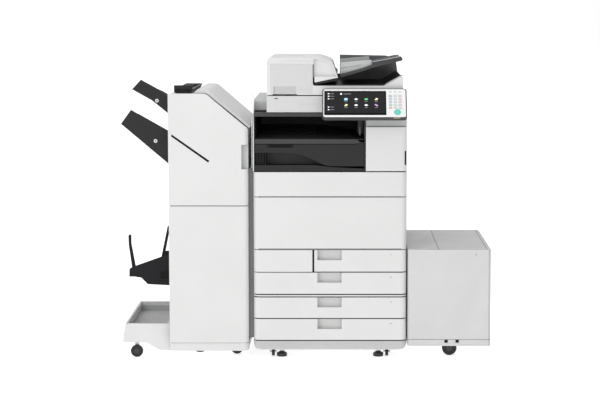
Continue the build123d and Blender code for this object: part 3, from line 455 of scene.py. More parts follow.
def cut_plate(name, loops, z, material, body, where, edge=0.25):
    """Plate between two local heights, on an outer loop with holes, placed by a matrix; all in mm."""
    curve = bpy.data.curves.new(name, "CURVE")
    curve.dimensions = "2D"
    curve.fill_mode = "BOTH"
    curve.extrude = (z[1] - z[0]) / 2 * MM - edge * MM
    curve.bevel_depth = edge * MM
    curve.bevel_resolution = 1
    curve.offset = -edge * MM
    for loop in loops:
        spline = curve.splines.new("POLY")
        spline.points.add(len(loop) - 1)
        for point, (x, y) in zip(spline.points, loop):
            point.co = (x * MM, y * MM, 0, 1)
        spline.use_cyclic_u = True
    mesh = meshed(added(name, curve))
    mesh.transform(where @ Matrix.Translation((0, 0, (z[0] + z[1]) / 2 * MM)))
    return place(link(name, mesh, material), body)


def meshed(holder):
    """Turns a curve or text object into a mesh and removes the object."""
    bpy.context.view_layer.update()
    graph = bpy.context.evaluated_depsgraph_get()
    mesh = bpy.data.meshes.new_from_object(holder.evaluated_get(graph), depsgraph=graph)
    bpy.data.objects.remove(holder)
    return mesh


def digit(name, text, x, z, body):
    """A printed digit on a front."""
    curve = bpy.data.curves.new(name, "FONT")
    curve.body = text
    curve.size = 8 * 1.4 * MM      # a digit is 1 / 1.4 of its font size
    curve.extrude = 0.00008
    curve.align_x = "CENTER"
    curve.align_y = "CENTER"
    mesh = meshed(added(name, curve))
    mesh.transform(Matrix.Translation(at(x, -0.02, z)) @ Matrix.Rotation(math.pi / 2, 4, "X"))
    return place(link(name, mesh, PRINT), body)


def paint(piece, material, chosen):
    """Gives a second material to the faces whose centre, in machine mm, is chosen."""
    piece.data.materials.append(material)
    index = len(piece.data.materials) - 1
    for face in piece.data.polygons:
        c = face.center
        if chosen((c.x - ORIGIN_X) / MM, (c.y - ORIGIN_Y) / MM, c.z / MM):
            face.material_index = index
    return piece


def along(axis, name, centre, length, radius, material, body, edge=0.5):
    """Round bar from a centre point along an axis, with slightly rounded ends."""
    profile = [(radius - edge, 0), (radius, edge), (radius, length - edge), (radius - edge, length)]
    profile = [(r * MM, d * MM) for r, d in profile]
    return turned(name, profile, at(*centre), axis, material, body)


def wheel(name, centre, axis, radius, width, body):
    """Tyre, dished hub and axle cap; centre is the middle of the wheel's near face."""
    tyre = [(0.66, 0.04), (0.90, 0.0), (0.97, 0.07), (1.0, 0.22), (1.0, 0.78), (0.97, 0.93), (0.90, 1.0),
            (0.66, 0.96)]
    hub = [(0.20, 0.02), (0.62, 0.06), (0.66, 0.12), (0.66, 0.88), (0.62, 0.94), (0.20, 0.98)]
    parts = []
    for label, profile, material in (("tyre", tyre, RUBBER), ("hub", hub, DARK_GREY)):
        shape = [(r * radius * MM, d * width * MM) for r, d in profile]
        parts.append(turned(f"{name}_{label}", shape, at(*centre), axis, material, body))
    return joined(name, parts, body)


def screw(name, centre, axis, body):
    """Domed screw head."""
    profile = [(3.2, 0), (3.072, 0.7), (2.24, 1.3), (0.8, 1.6)]
    return turned(name, [(r * MM, d * MM) for r, d in profile], at(*centre), axis, STEEL, body, 20)


# ---------------------------------------------------------------- camera, floor and light
CAMERA_PLACE = (15.7, -6754, 1429.4)
CAMERA_DOWN = 5.386                      # degrees below the horizon
CAMERA_LENS = 101.3
CAMERA_SHIFT = (-0.0565, -0.0683)
FLOOR_GLOW, SKY_TOP, SKY_RIGHT = 0.60, 0.80, 0.2
LIGHTS = {                               # place, size in m and power in W
    "key": ((-2400, -3000, 2600), (2.6, 2.2), 30),
    "fill": ((1500, -3600, 1500), (1.6, 2.4), 8),
    "top": ((-300, 200, 3400), (3.0, 2.0), 16),
}


def add_camera():
    camera = bpy.data.cameras.new("camera")
    camera.lens = CAMERA_LENS
    camera.shift_x, camera.shift_y = CAMERA_SHIFT
    camera.clip_end = 60
    holder = added("camera", camera)
    holder.location = at(*CAMERA_PLACE)
    holder.rotation_euler = (math.radians(90 - CAMERA_DOWN), 0, 0)
    bpy.context.scene.camera = holder


def add_studio():
    """White glowing floor, a sky that is dimmer above and on the right, and three soft lights."""
    bm = bmesh.new()
    bmesh.ops.create_grid(bm, x_segments=2, y_segments=2, size=60)
    floor_material = painted("studio floor", (0.90, 0.90, 0.90), 0.6)
    shader = floor_material.node_tree.nodes["Principled BSDF"]
    shader.inputs["Emission Color"].default_value = (1, 1, 1, 1)
    shader.inputs["Emission Strength"].default_value = FLOOR_GLOW
    from_bmesh("studio_floor", bm, floor_material)
    world = bpy.data.worlds.new("studio")
    bpy.context.scene.world = world
    world.use_nodes = True
    tree = world.node_tree
    direction = node_of(tree, "ShaderNodeTexCoord").outputs["Generated"]
    split = tree.nodes.new("ShaderNodeSeparateXYZ")
    tree.links.new(direction, split.inputs["Vector"])
    sky = ramp(tree, split.outputs["Z"], grey(1.0), grey(SKY_TOP), (0.22, 0.5))
    rightwards = node_of(tree, "ShaderNodeMapRange")
    rightwards.inputs["From Min"].default_value = 0.15
    rightwards.inputs["To Min"].default_value = 1.0
    rightwards.inputs["To Max"].default_value = SKY_RIGHT
    tree.links.new(split.outputs["X"], rightwards.inputs["Value"])
    mixed = node_of(tree, "ShaderNodeVectorMath", operation="SCALE")
    tree.links.new(sky, mixed.inputs[0])
    tree.links.new(rightwards.outputs["Result"], mixed.inputs["Scale"])
    tree.links.new(mixed.outputs["Vector"], tree.nodes["Background"].inputs["Color"])
    for name, (location, size, power) in LIGHTS.items():
        lamp = bpy.data.lights.new(name, "AREA")
        lamp.shape = "RECTANGLE"
        lamp.size, lamp.size_y = size
        lamp.energy = power
        holder = added(name, lamp)
        holder.location = at(*location)
        holder.rotation_euler = (at(0, 300, 600) - holder.location).to_track_quat("-Z", "Y").to_euler()
    bpy.context.scene.view_settings.view_transform = "Standard"


add_camera()
add_studio()

# ---------------------------------------------------------------- carried-over CAD shapes
FINISH = {
    WHITE: ["front_door", "toner_cover", "drawer_side_panel", "rear_cover", "adf_base", "adf_cover",
            "finisher_cabinet", "finisher_upper_door", "finisher_lower_door", "finisher_top_cover",
            "column_cover"],
    COOL_WHITE: ["deck_cabinet", "deck_lid", "reader_housing"],
    WHITE_SIDE: ["left_cover", "right_cover", "right_door", "bypass_tray"],
    PALE_GREY: ["document_guide_front", "document_guide_rear"],
    DARK_GREY: ["panel_arm", "scan_carriage", "document_tray", "delivery_wall"],
    BLACK: ["delivery_tray", "upper_delivery_tray", "finisher_exit_guide", "toner_cartridges"],
    MID_GREY: ["imaging_unit"],
    TUB_GREY: [f"cassette_{number}_tray" for number in (1, 2, 3, 4)],
    ZINC: ["main_frame", "fixing_frame", "deck_plate"],
    COPPER_FILM: ["fuser_roller"],
    GREY_RUBBER: ["pressure_roller"],
    GLASS: ["platen_glass"],
    SCREEN: ["touch_screen"],
}
FINISH[WHITE] += [f"cassette_{number}_front" for number in (1, 2, 3, 4)]
FINE_EDGE = 0.0006                   # for the screen and the keys
REAR_FACE = 678.3                    # leaves room for the inlet, ports and screw heads
DECK_POSTS = 53                      # lower end of the posts that hold the deck's wheels
COVER_FOOT, COVER_SQUEEZE = 1140, 0.935   # above its foot, the feeder cover is slightly flatter than in CAD
whole = {node: refined(node, material, FINE_EDGE if node == "touch_screen" else 0.0011)
         for material, nodes in FINISH.items() for node in nodes}
keys = refined("panel_keys", KEY_TINTS[0], FINE_EDGE)


def paint_second_colours():
    """Parts of some covers that are moulded in another colour, and painted shade on the deck's right front
    edge.
    """
    paint(whole["left_cover"], PALE_GREY, lambda x, y, z: z > 1003 and y > 76)
    paint(whole["column_cover"], PALE_GREY, lambda x, y, z: z > 944 and y < 36)
    paint(whole["document_tray"], BLACK, lambda x, y, z: x > 167 and z > 1190)
    # painted shade: the deck's rounded right front edge in pale grey, as the side away from the light
    paint(whole["deck_cabinet"], PALE_GREY, lambda x, y, z: x > 641 and y < 13 and z < 440)
    paint(whole["finisher_upper_door"], PALE_GREY, lambda x, y, z: x > -357 and 773 < z < 872 and y > 1)


def trim_shapes():
    """Three pieces whose look leaves the CAD shape by a little."""
    for vertex in whole["deck_cabinet"].data.vertices:
        vertex.co.z = max(vertex.co.z, DECK_POSTS * MM)
    for vertex in whole["rear_cover"].data.vertices:
        vertex.co.y = min(vertex.co.y, at(0, REAR_FACE, 0).y)
    for vertex in whole["adf_cover"].data.vertices:
        above = vertex.co.z - COVER_FOOT * MM
        if above > 0:
            vertex.co.z -= above * (1 - COVER_SQUEEZE)


# ---------------------------------------------------------------- main unit
LEVELS = {"skirt": 75, "cassette_4": 165, "cassette_3": 254, "cassette_2": 264, "cassette_1": 355,
          "door": 447, "band": 661}           # heights of the gaps between the fronts
CASSETTES = {1: (355, 447), 2: (264, 355), 3: (165, 254), 4: (75, 165)}   # lower and upper height
FACE, HALF, CORNER = 308.5, 310, 24           # half widths of the fronts and the body, corner radius
FOOT_ROWS = (60, 620)


def add_seams():
    """Painted shade in the gaps between the fronts: black strips in the gaps, shallow ones under the hinged
    covers, and dark lines along the fronts' lower edges.
    """
    # black strips in the gaps between the fronts, painted shade standing for the shadow in each gap
    for name, z in LEVELS.items():
        hinged = name in ("door", "band")
        top = z - 0.6 if hinged else z + 1.2
        bowed(f"seam_shade_strip_{name}", (-FACE + 3, FACE - 3), (3, 29), (z - 1.3, top), (21, 21), BLACK_DEEP,
              MAIN, 0.1)
    # dark grey lines under the lower edge of each drawer front, painted shade
    for number in (4, 3, 2, 1):
        low = CASSETTES[number][0]
        left, corner = (-64, 1) if number == 1 else (-FACE, CORNER)
        bowed(f"edge_line_cassette_{number}", (left, FACE + 0.1), (-0.12, 25), (low + 0.7, low + 2.9),
              (corner, CORNER), DARK_GREY, f"cassette_{number}", 0.05)
    # the same painted shade lines under the front door, the toner cover and the middle rail
    for body, z in (("front_door", (449.6, 451.8)), ("toner_cover", (663.4, 664.4))):
        block(f"edge_line_{body}", (20 - FACE, FACE - 20), (-0.12, 1.5), z, DARK_GREY, body, 0.05)
    bowed("edge_line_rail", (-FACE, FACE + 0.1), (-0.12, 25), (252, 254.2), (CORNER, CORNER), DARK_GREY,
          "cassette_3", 0.05)
    bowed("middle_rail", (-FACE, FACE), (0.4, 29), (256, 262), (CORNER, CORNER), WHITE, MAIN, 0.8)
    # black strip in the gap beside the narrow first drawer, painted shade
    block("narrow_drawer_seam", (-70.2, -64.8), (3, 29), (357, 445), BLACK_DEEP, MAIN, 0.3)


def add_skirt():
    """Base skirt: its lower edge curves inwards all round the front; its darker white is painted shade."""
    heights = [(36, 15), (38, 10), (43, 5.5), (50, 2.4), (60, 0.6), (73.5, 0)]
    outer, inner = [], []
    for z, inset in heights:
        for rings, wall in ((outer, 0), (inner, 4)):
            edge = HALF - inset - wall
            plan = plan_outline((-edge, edge), (inset * 0.8 + wall, 676 - wall), (CORNER, CORNER))
            rings.append([at(x, y, z) for x, y in plan])
    skirt = loft("base_skirt_shell", outer + inner[::-1], SHADED_WHITE, MAIN, 0.5)
    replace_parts(skirt, "base_skirt")


def add_feet():
    """Levelling feet: a disc on a threaded stem with its hexagon nut."""
    feet = []
    profile = [(19, 0), (21, 2), (21, 13), (19, 15), (12, 16), (12, 20), (6, 20.5), (6, 42)]
    for x in (-197, 197):
        for y in FOOT_ROWS:
            feet.append(turned("foot", [(r * MM, d * MM) for r, d in profile], at(x, y, 0), (0, 0, 1), FOOT,
                               MAIN))
            bm = bmesh.new()
            bmesh.ops.create_circle(bm, cap_ends=True, segments=6, radius=11 * MM,
                                    matrix=Matrix.Translation(at(x, y, 24)))
            grown = bmesh.ops.extrude_face_region(bm, geom=list(bm.faces))["geom"]
            top = [item for item in grown if isinstance(item, bmesh.types.BMVert)]
            bmesh.ops.translate(bm, vec=(0, 0, 7 * MM), verts=top)
            nut = from_bmesh("foot_nut", bm, STEEL)
            soften(nut, 0.0006, 2)
            feet.append(nut)
    whole_feet = joined("leveling_feet_turned", feet, MAIN)
    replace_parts(whole_feet, "leveling_feet")


def add_casters():
    """Two small wheels in front and two behind, beside the feet."""
    for row, y in zip(("front", "rear"), FOOT_ROWS):
        body = f"main_casters_{row}"
        wheels = [wheel(f"{body}_{side}", (x - 6, y, 19.5), (1, 0, 0), 18, 12, body)
                  for side, x in (("left", -232), ("right", 232))]
        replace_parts(joined(f"{body}_wheels", wheels, body), body)


def add_digits():
    """Number of each paper supply, at the right of its front."""
    for number, (low, top) in CASSETTES.items():
        digit(f"drawer_digit_{number}", str(number), 246, top - 20, f"cassette_{number}")
    digit("deck_digit", "5", 591, 427, DECK)


def add_output_trays():
    """Delivery cavity: the bed that falls away to the right, ribs, lip, pocket and bracket."""
    bed_height, slope = 893.5, 0.04                 # at the front, and its rise per mm towards the back
    steps_x, steps_y = 36, 14
    bm = bmesh.new()
    rows = []
    for j in range(steps_y + 1):
        y = 12 + 540 * j / steps_y
        crease = 125 - 180 * j / steps_y
        row = []
        for i in range(steps_x + 1):
            x = -301 + 436 * i / steps_x
            fall = max(0.0, x - crease)
            z = bed_height + slope * y - 0.10 * fall - 0.0005 * fall * fall
            row.append(bm.verts.new(at(x, y, z)))
        rows.append(row)
    for lower, upper in zip(rows, rows[1:]):
        for i in range(steps_x):
            bm.faces.new((lower[i], lower[i + 1], upper[i + 1], upper[i]))
    bed = from_bmesh("upper_tray_bed", bm, DARK_GREY)
    thick = bed.modifiers.new("thickness", "SOLIDIFY")
    thick.thickness = 0.003
    thick.offset = -1
    soften(bed, 0.0004, 1)
    place(bed, MAIN)

    for k in range(7):
        z = 912 + 11 * k
        block(f"cavity_wall_rib_{k + 1}", (-303.5, -298), (24, 540), (z, z + 3.5), BLACK, MAIN, 1)
    for k in range(9):
        y = 70 + 54 * k
        z = bed_height + slope * y
        front_prism(f"bed_rib_{k + 1}", [(-290, z), (-60, z), (-62, z + 2), (-288, z + 2)], (y, y + 3), BLACK,
                    MAIN, 0.6)
    lip = [(-301, 876), (106, 876), (116, 880), (118, 886), (110, 893), (104, 895), (-301, 895)]
    front_prism("upper_tray_lip", lip, (0.9, 5), DARK_GREY, MAIN, 1.4, 3)
    notch = [(-251, 876), (-147, 876), (-153, 866), (-163, 862), (-235, 862), (-245, 866)]
    front_prism("upper_tray_notch", notch, (8.0, 9.4), BLACK_DEEP, MAIN, 0)
    front_prism("lip_shadow", [(-301, 872.5), (108, 872.5), (110, 876), (-301, 876)], (2.6, 3.4), BLACK_DEEP,
                MAIN, 0)
    block("pocket_back", (-258, 20), (70, 74), (786, 840), DARK_GREY, MAIN, 0.8)
    block("pocket_separator", (-263, -257), (6, 74), (789, 839), BLACK_DEEP, MAIN, 0.8)
    for k in range(6):
        x = -298 + 6 * k
        block(f"pocket_rib_{k + 1}", (x, x + 2.6), (12, 24), (790, 838), BLACK, MAIN, 0.8)
    block("pocket_rib_wall", (-301, -262), (24, 28), (790, 838), BLACK, MAIN, 0.5)
    block("sheet_guide_bracket", (112, 134), (60, 78), (912, 988), DARK_GREY, MAIN, 3)
    block("sheet_guide_finger", (119, 124), (52, 61), (905, 940), MID_GREY, MAIN, 1.5)
    along((1, 0, 0), "exit_roller_shaft", (-260, 530, 958), 390, 4, STEEL, MAIN)
    for k in range(6):
        along((1, 0, 0), f"exit_roller_{k + 1}", (-230 + 62 * k, 530, 958), 24, 9, GREY_RUBBER, MAIN, 1)


def add_column_details():
    """Painted shade in the slot in the right side, and the painted shadow line under the column's grey head.
    """
    block("side_slot_liner", (300.6, 306.4), (11, 14), (791, 846), BLACK_DEEP, MAIN, 0.5)
    bowed("column_shadow_line", (146, 308.6), (7.4, 30), (943.4, 945.6), (3, 22), TUB_GREY, MAIN, 0.2)


def add_rear_details():
    """Power inlet, interface ports, fan grille and screws on the rear and side covers."""
    block("inlet_frame", (-262, -208), (676, 679.6), (112, 148), BLACK, MAIN, 2)
    block("inlet_recess", (-256, -214), (674, 679.9), (118, 142), BLACK_DEEP, MAIN, 1)
    for k, x in enumerate((-244, -235, -226)):
        block(f"inlet_pin_{k + 1}", (x - 1, x + 1), (676, 680), (127, 134), STEEL, MAIN, 0.4)
    block("port_plate", (120, 240), (676, 679.7), (860, 900), MID_GREY, MAIN, 1.5)
    for k, (x, width) in enumerate(((134, 14), (158, 14), (184, 16), (212, 16))):
        block(f"port_{k + 1}", (x, x + width), (677, 679.9), (872, 886), BLACK_DEEP, MAIN, 1)
    where = Matrix.Translation(at(0, 678.7, 250)) @ Matrix.Rotation(-math.pi / 2, 4, "X")
    slots = [rounded_loop((0, -42 + 12 * k), (90 - abs(k - 3.5) * 8, 5), 2.4) for k in range(8)]
    cut_plate("fan_grille", [rounded_loop((0, 0), (110, 110), 8)] + slots, (0, 1.2), WHITE_SIDE, MAIN, where)
    for k, (x, z) in enumerate(((-290, 100), (290, 100), (-290, 980), (290, 980), (0, 980), (0, 100))):
        screw(f"rear_screw_{k + 1}", (x, 678.4, z), (0, 1, 0), MAIN)
    for side, x in (("left", (-310.5, -310)), ("right", (310, 310.5))):
        grip = [(300, 330), (420, 330), (414, 362), (306, 362)]
        side_prism(f"{side}_carry_grip", grip, x, MID_GREY, MAIN, 0.2)


def add_interior():
    """What shows behind the opened fronts: toner ends, latches, paper stacks and size dials."""
    for tint, x in zip(TONER_TINTS, (-215, -95, 25, 145)):
        along((0, -1, 0), f"toner_end_{x + 216}", (x, 45, 712), 9, 35, tint, MAIN, 2)
        block(f"toner_pull_{x + 216}", (x - 9, x + 9), (31, 40), (704, 720), BLACK, MAIN, 2)
        block(f"drum_pull_{x + 216}", (x - 30, x + 30), (50, 60), (600, 630), DARK_GREY, MAIN, 3)
    block("inner_cover", (-285, 196), (40, 43), (470, 660), PALE_GREY, MAIN, 1.5)
    block("inner_latch", (-60, -20), (30, 40), (556, 568), LATCH_GREEN, MAIN, 3)
    along((0, -1, 0), "inner_knob", (120, 41, 540), 10, 16, LATCH_GREEN, MAIN, 2)
    block("fuser_latch", (212, 282), (42, 46), (672, 690), LATCH_GREEN, MAIN, 1.5)
    for number, (low, top) in CASSETTES.items():
        left = -40 if number == 1 else -240
        block(f"paper_stack_{number}", (left + 8, 262), (136, 484), (low + 17.2, low + 55.2), WHITE,
              f"cassette_{number}", 0.6)
        block(f"size_dial_{number}", (266, 280), (60, 84), (top - 30, top - 18), DARK_GREY,
              f"cassette_{number}", 1)


# ---------------------------------------------------------------- reader and document feeder
def add_feeder():
    """Feeder panels and shades, the paper output below the tray, guides' steps and rollers."""
    block("feed_side_panel", (-240, -70.5), (1.0, 3), (1076, 1195), COOL_WHITE, FEEDER, 0.8)
    # black strip in the groove's step, painted shadow
    front_prism("feed_gap_shadow", [(-69.5, 1110), (-66, 1107), (-66, 1197), (-69.5, 1197)], (8, 15), BLACK,
                FEEDER, 0.2)
    # painted shade of the grip recess: a darker plate, with darker strips along its left and top edges
    block("feeder_grip_recess", (-225, -136), (0.8, 1.8), (1077, 1107), SHADED_WHITE, FEEDER, 0.6)
    block("feeder_grip_shade", (-225, -222), (0.6, 1.6), (1077, 1107), MID_GREY, FEEDER, 0.4)
    block("feeder_grip_top", (-225, -136), (0.6, 1.6), (1104.5, 1107), PALE_GREY, FEEDER, 0.4)
    block("reader_lamp", (-222, -209), (-0.2, 1), (1056, 1060), BLACK, MAIN, 0.4)
    front_prism("cover_front_lip", [(-62, 1146), (30, 1146), (30, 1141), (-50, 1124), (-62, 1122)], (3.2, 20),
                WHITE, "feeder_cover", 1.2)
    floor = [(-64, 1109.2), (214, 1109.2), (232, 1114), (286, 1146), (284, 1148), (230, 1117), (212, 1111.5),
             (-64, 1111.5)]
    front_prism("output_floor", floor, (8, 560), DARK_GREY, FEEDER, 0.3)
    front_prism("output_wedge", [(216, 1109), (293, 1150.5), (293, 1153), (222, 1114)], (2, 60), WHITE_SIDE,
                FEEDER, 0.8)
    # wall behind the output area, in dark grey as painted shade under the tray
    back = [(-64, 1096), (212, 1096), (291, 1141), (284, 1188), (268, 1206), (240, 1214), (41, 1218),
            (41, 1136), (-64, 1136)]
    front_prism("tray_back_fence", back, (550, 560), TUB_GREY, FEEDER, 2)
    front_prism("tray_underside_shadow", [(-62, 1112), (30, 1130), (30, 1139), (-62, 1124)], (10, 540), BLACK,
                FEEDER, 0.4)
    # pale strip on top of the tray's black front wall, a painted highlight
    front_prism("tray_wall_highlight", [(172, 1202.6), (284, 1224.2), (284, 1226), (172, 1204.6)], (33.6, 46.4),
                PALE_GREY, "document_tray", 0.3)
    front_prism("tray_bed", [(172, 1192.3), (280, 1217), (280, 1218.4), (172, 1193.9)], (66, 512), TUB_GREY,
                "document_tray", 0.3)
    for k in range(5):
        y = 110 + 86 * k
        front_prism(f"tray_rib_{k + 1}", [(130, 1177), (171, 1193), (276, 1217), (276, 1220), (171, 1196),
                                          (130, 1180)], (y, y + 4), TUB_GREY, "document_tray", 0.5)
    for side, edge in (("front", (49.2, 50.0)), ("rear", (528.0, 528.8))):
        body = f"document_guide_{side}"
        front_prism(f"{body}_step", [(44, 1176), (126, 1190), (126, 1192), (44, 1178)], edge, MID_GREY, body,
                    0.1)
    along((0, 1, 0), "pickup_roller", (20, 230, 1160), 60, 12, GREY_RUBBER, FEEDER, 2)
    along((0, 1, 0), "feed_shaft", (-20, 40, 1165), 490, 5, STEEL, FEEDER)
    for k in range(3):
        along((0, 1, 0), f"feed_roller_{k + 1}", (-20, 150 + 110 * k, 1165), 40, 13, GREY_RUBBER, FEEDER, 2)
    block("platen_backing", (-196, 246), (62, 478), (1069.4, 1072.4), WHITE, FEEDER, 1)
    block("feeder_marks_plate", (-196, -60), (3, 4), (1208, 1209), COOL_WHITE, "feeder_cover", 0.2)
    block("carriage_lamp", (-228, -224), (84, 456), (1044.5, 1048), LAMP_STRIP, "scan_carriage", 0.8)
    block("reader_cover_plate", (-118.6, -39.4), (0.4, 1.6), (1008.4, 1035.6), COOL_WHITE, MAIN, 0.4)


# ---------------------------------------------------------------- control panel
TILT = math.radians(36)              # of the panel's face from the vertical
PANEL = (Matrix.Translation(at(137.5, -109, 976))    # on its face: x rightwards, y up the face, z outwards
         @ Matrix.Rotation(math.pi / 2 - TILT, 4, "X"))
SCREEN_CENTRE = (-37, 84.4)
START_KEY = (130, 41)
KEY_COLUMNS, KEY_ROWS = (103, 122, 141), (62, 76, 90, 104, 118)
ICON_COLUMNS, ICON_ROWS = (-74, -33.5, 6.5, 46.5), (101, 73)
ICON_SHAPES = {
    "blue": [(-8, -3), (-4, -6), (6, -5), (8, 2), (3, 6), (-6, 5)],
    "white": [(-8, 0), (0, -5), (8, 0), (0, 5)],
    "green": [(-8, -3), (2, -5), (8, 0), (4, 5), (-6, 3)],
    "cream": [(-7, -4), (3, -5), (8, 3), (-1, 6)],
    "purple": [(-8, 2), (-2, 6), (8, -2), (3, -6)],
}


def panel_piece(name, loops, z, material, body="control_panel", edge=0.2):
    return cut_plate(name, loops, z, material, body, PANEL, edge)


def add_panel():
    """Dark shell with a white face set into it, the start key and the marks above the keys."""
    holes = [rounded_loop(SCREEN_CENTRE, (246, 114.6), 1)]
    holes += [rounded_loop((x, y), (13, 9), 2.2) for x in KEY_COLUMNS for y in KEY_ROWS]
    holes.append(round_loop(START_KEY, 13.6))
    outer = rounded_loop((0, 82.5), (336, 139), 11, 8)
    inner = rounded_loop((0, 83.5), (328, 132), 8, 8)
    shell = panel_piece("panel_shell", [outer], (-20, -7.8), DARK_GREY, edge=2.4)
    rim = panel_piece("panel_rim", [outer, inner], (-8, -0.2), DARK_GREY, edge=0.8)
    lugs = []
    for x in (74, 192):
        lugs.append(along((1, 0, 0), "lug", (x, -36, 1022), 10, 11, DARK_GREY, "control_panel", 1))
        lugs.append(block("lug_root", (x, x + 10), (-62, -36), (1012, 1032), DARK_GREY, "control_panel", 1))
    housing = joined("panel_shell_whole", [shell, rim] + lugs, "control_panel")
    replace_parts(housing, "panel_housing")
    panel_piece("panel_face", [rounded_loop((0, 83.5), (327.4, 131.4), 7.8, 8)] + holes, (-5.2, -0.4),
                PANEL_WHITE, edge=0.5)
    key = panel_piece("start_key_cap", [round_loop(START_KEY, 13)], (-4.6, 1.8), TEAL, "start_key", 0.6)
    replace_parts(key, "start_key")
    for k, x in enumerate(KEY_COLUMNS):
        panel_piece(f"key_mark_{k + 1}", [rounded_loop((x, 136), (11, 6), 2)], (-0.5, -0.2), KEY_TINTS[0],
                    edge=0.05)


def add_screen():
    """Lit field with two rows of icons, the short bars under them, and a list on its left."""
    field = panel_piece("screen_field", [rounded_loop((-37, 85), (236, 97), 1)], (0.3, 0.55), SCREEN_FIELD)
    tint_rows = (("blue", "white", "green", "cream"), ("cream", "white", "white", "purple"))
    for row, (y, tints) in enumerate(zip(ICON_ROWS, tint_rows)):
        for x, tint in zip(ICON_COLUMNS, tints):
            outline = [(x + dx, y + dy) for dx, dy in ICON_SHAPES[tint]]
            panel_piece(f"icon_{row}_{int(x + 100)}", [outline], (0.5, 0.75), ICON_TINTS[tint], edge=0.05)
            panel_piece(f"icon_bar_{row}_{int(x + 100)}", [rounded_loop((x, y - 11.5), (13, 1.8), 0.6)],
                        (0.5, 0.65), ICON_TINTS["grey"], edge=0.03)
    for k, y in enumerate((127, 115, 103, 64, 52)):
        panel_piece(f"list_mark_{k + 1}", [rounded_loop((-143, y), (6, 5), 1)], (0.5, 0.75),
                    ICON_TINTS["white"], edge=0.05)
        panel_piece(f"list_bar_{k + 1}", [rounded_loop((-129, y), (16, 2.4), 0.8)], (0.5, 0.7),
                    ICON_TINTS["grey"], edge=0.05)
    panel_piece("header_mark", [round_loop((-93, 126), 4, 16)], (0.5, 0.75), ICON_TINTS["white"], edge=0.05)
    panel_piece("header_bar", [rounded_loop((-68, 126), (30, 2.6), 0.8)], (0.5, 0.7), ICON_TINTS["grey"],
                edge=0.05)


def tint_keys():
    """Indicator bar below the keys, and a tint of their own for two columns and one key."""
    panel_piece("indicator_bar", [rounded_loop((128, 14), (26, 2.4), 1)], (-0.5, -0.2), ICON_TINTS["cream"],
                edge=0.05)
    paint(keys, KEY_TINTS[1], lambda x, y, z: 255 < x < 264)
    paint(keys, KEY_TINTS[2], lambda x, y, z: x > 270)
    paint(keys, KEY_TINTS[3], lambda x, y, z: x < 250 and z < 1034)


# ---------------------------------------------------------------- finisher
FINISHER_WHEELS = (("left", -788, (30, 548), 92), ("right", -383, (94, 548), 62))   # x, rows, cheek's top
AXLE_HEIGHT = 25.8


def add_finisher():
    """Painted shade in the slot of the sloping side and in the seam between the doors; the side's filler,
    exit rollers, wheels, foot and the units behind the doors.
    """
    # black plate behind the slot, painted shade
    front_prism("slash_liner", [(-638, 916), (-484, 808), (-489, 799), (-638, 904)], (2.2, 3.2), BLACK_DEEP,
                "finisher_upper_door", 0)
    front_prism("slope_filler", [(-503, 1077), (-333, 939), (-333, 931), (-507, 1071)], (6, 29), WHITE_SIDE,
                FINISHER, 0.4)
    front_prism("exit_hood", [(-630, 1080), (-566, 1080), (-549, 1108), (-630, 1108)], (60, 70), BLACK,
                FINISHER, 0.8)
    for name, x, z, y, body in (("upper", -701, 1045, 80, "finisher_upper_tray"),
                                ("lower", -706, 883, 60, "finisher_lower_tray")):
        boss = [along((0, -1, 0), "ring", (x, y + 1, z), 3.2, 8, STEEL, body, 1),
                along((0, -1, 0), "pin", (x, y - 2, z), 1.4, 3, TUB_GREY, body, 0.4)]
        joined(f"{name}_tray_boss", boss, body)
    block("docking_plate", (-329.5, -311), (40, 560), (80, 774), MID_GREY, FINISHER, 1.5)
    block("docking_strip", (-318, -313), (38, 42), (774, 985), WHITE_SIDE, FINISHER, 1)
    along((0, 1, 0), "exit_shaft", (-646, 70, 1064), 480, 3.5, STEEL, FINISHER)
    for k in range(6):
        along((0, 1, 0), f"exit_roller_f{k + 1}", (-646, 100 + 78 * k, 1064), 22, 8, GREY_RUBBER, FINISHER, 1)
    for label, x, rows, _ in FINISHER_WHEELS:
        body = f"finisher_wheels_{label}"
        wheels = [wheel(f"{body}_{y}", (x, y, AXLE_HEIGHT), (0, 1, 0), 25, 14, body) for y in rows]
        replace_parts(joined(f"{body}_turned", wheels, body), body)
    turned("finisher_foot_pad", [(0.014, 0), (0.022, 0.005), (0.022, 0.0095)], at(-530, 40, 22), (0, 0, 1),
           BLACK, FINISHER)
    for k, z in enumerate((120, 340, 590, 820, 1040)):
        screw(f"finisher_screw_{k + 1}", (-345, 627, z), (0, 1, 0), FINISHER)
    block("inner_staple_unit", (-600, -420), (60, 560), (700, 880), TUB_GREY, FINISHER, 6)
    block("inner_booklet_unit", (-610, -400), (60, 560), (260, 480), TUB_GREY, FINISHER, 6)
    along((0, -1, 0), "inner_finisher_knob", (-470, 60, 660), 14, 15, LATCH_GREEN, FINISHER, 2)
    # black strip in the gap between the doors, painted shade
    block("door_seam", (-645, -334), (4, 25), (623.8, 626.2), BLACK_DEEP, FINISHER, 0.2)


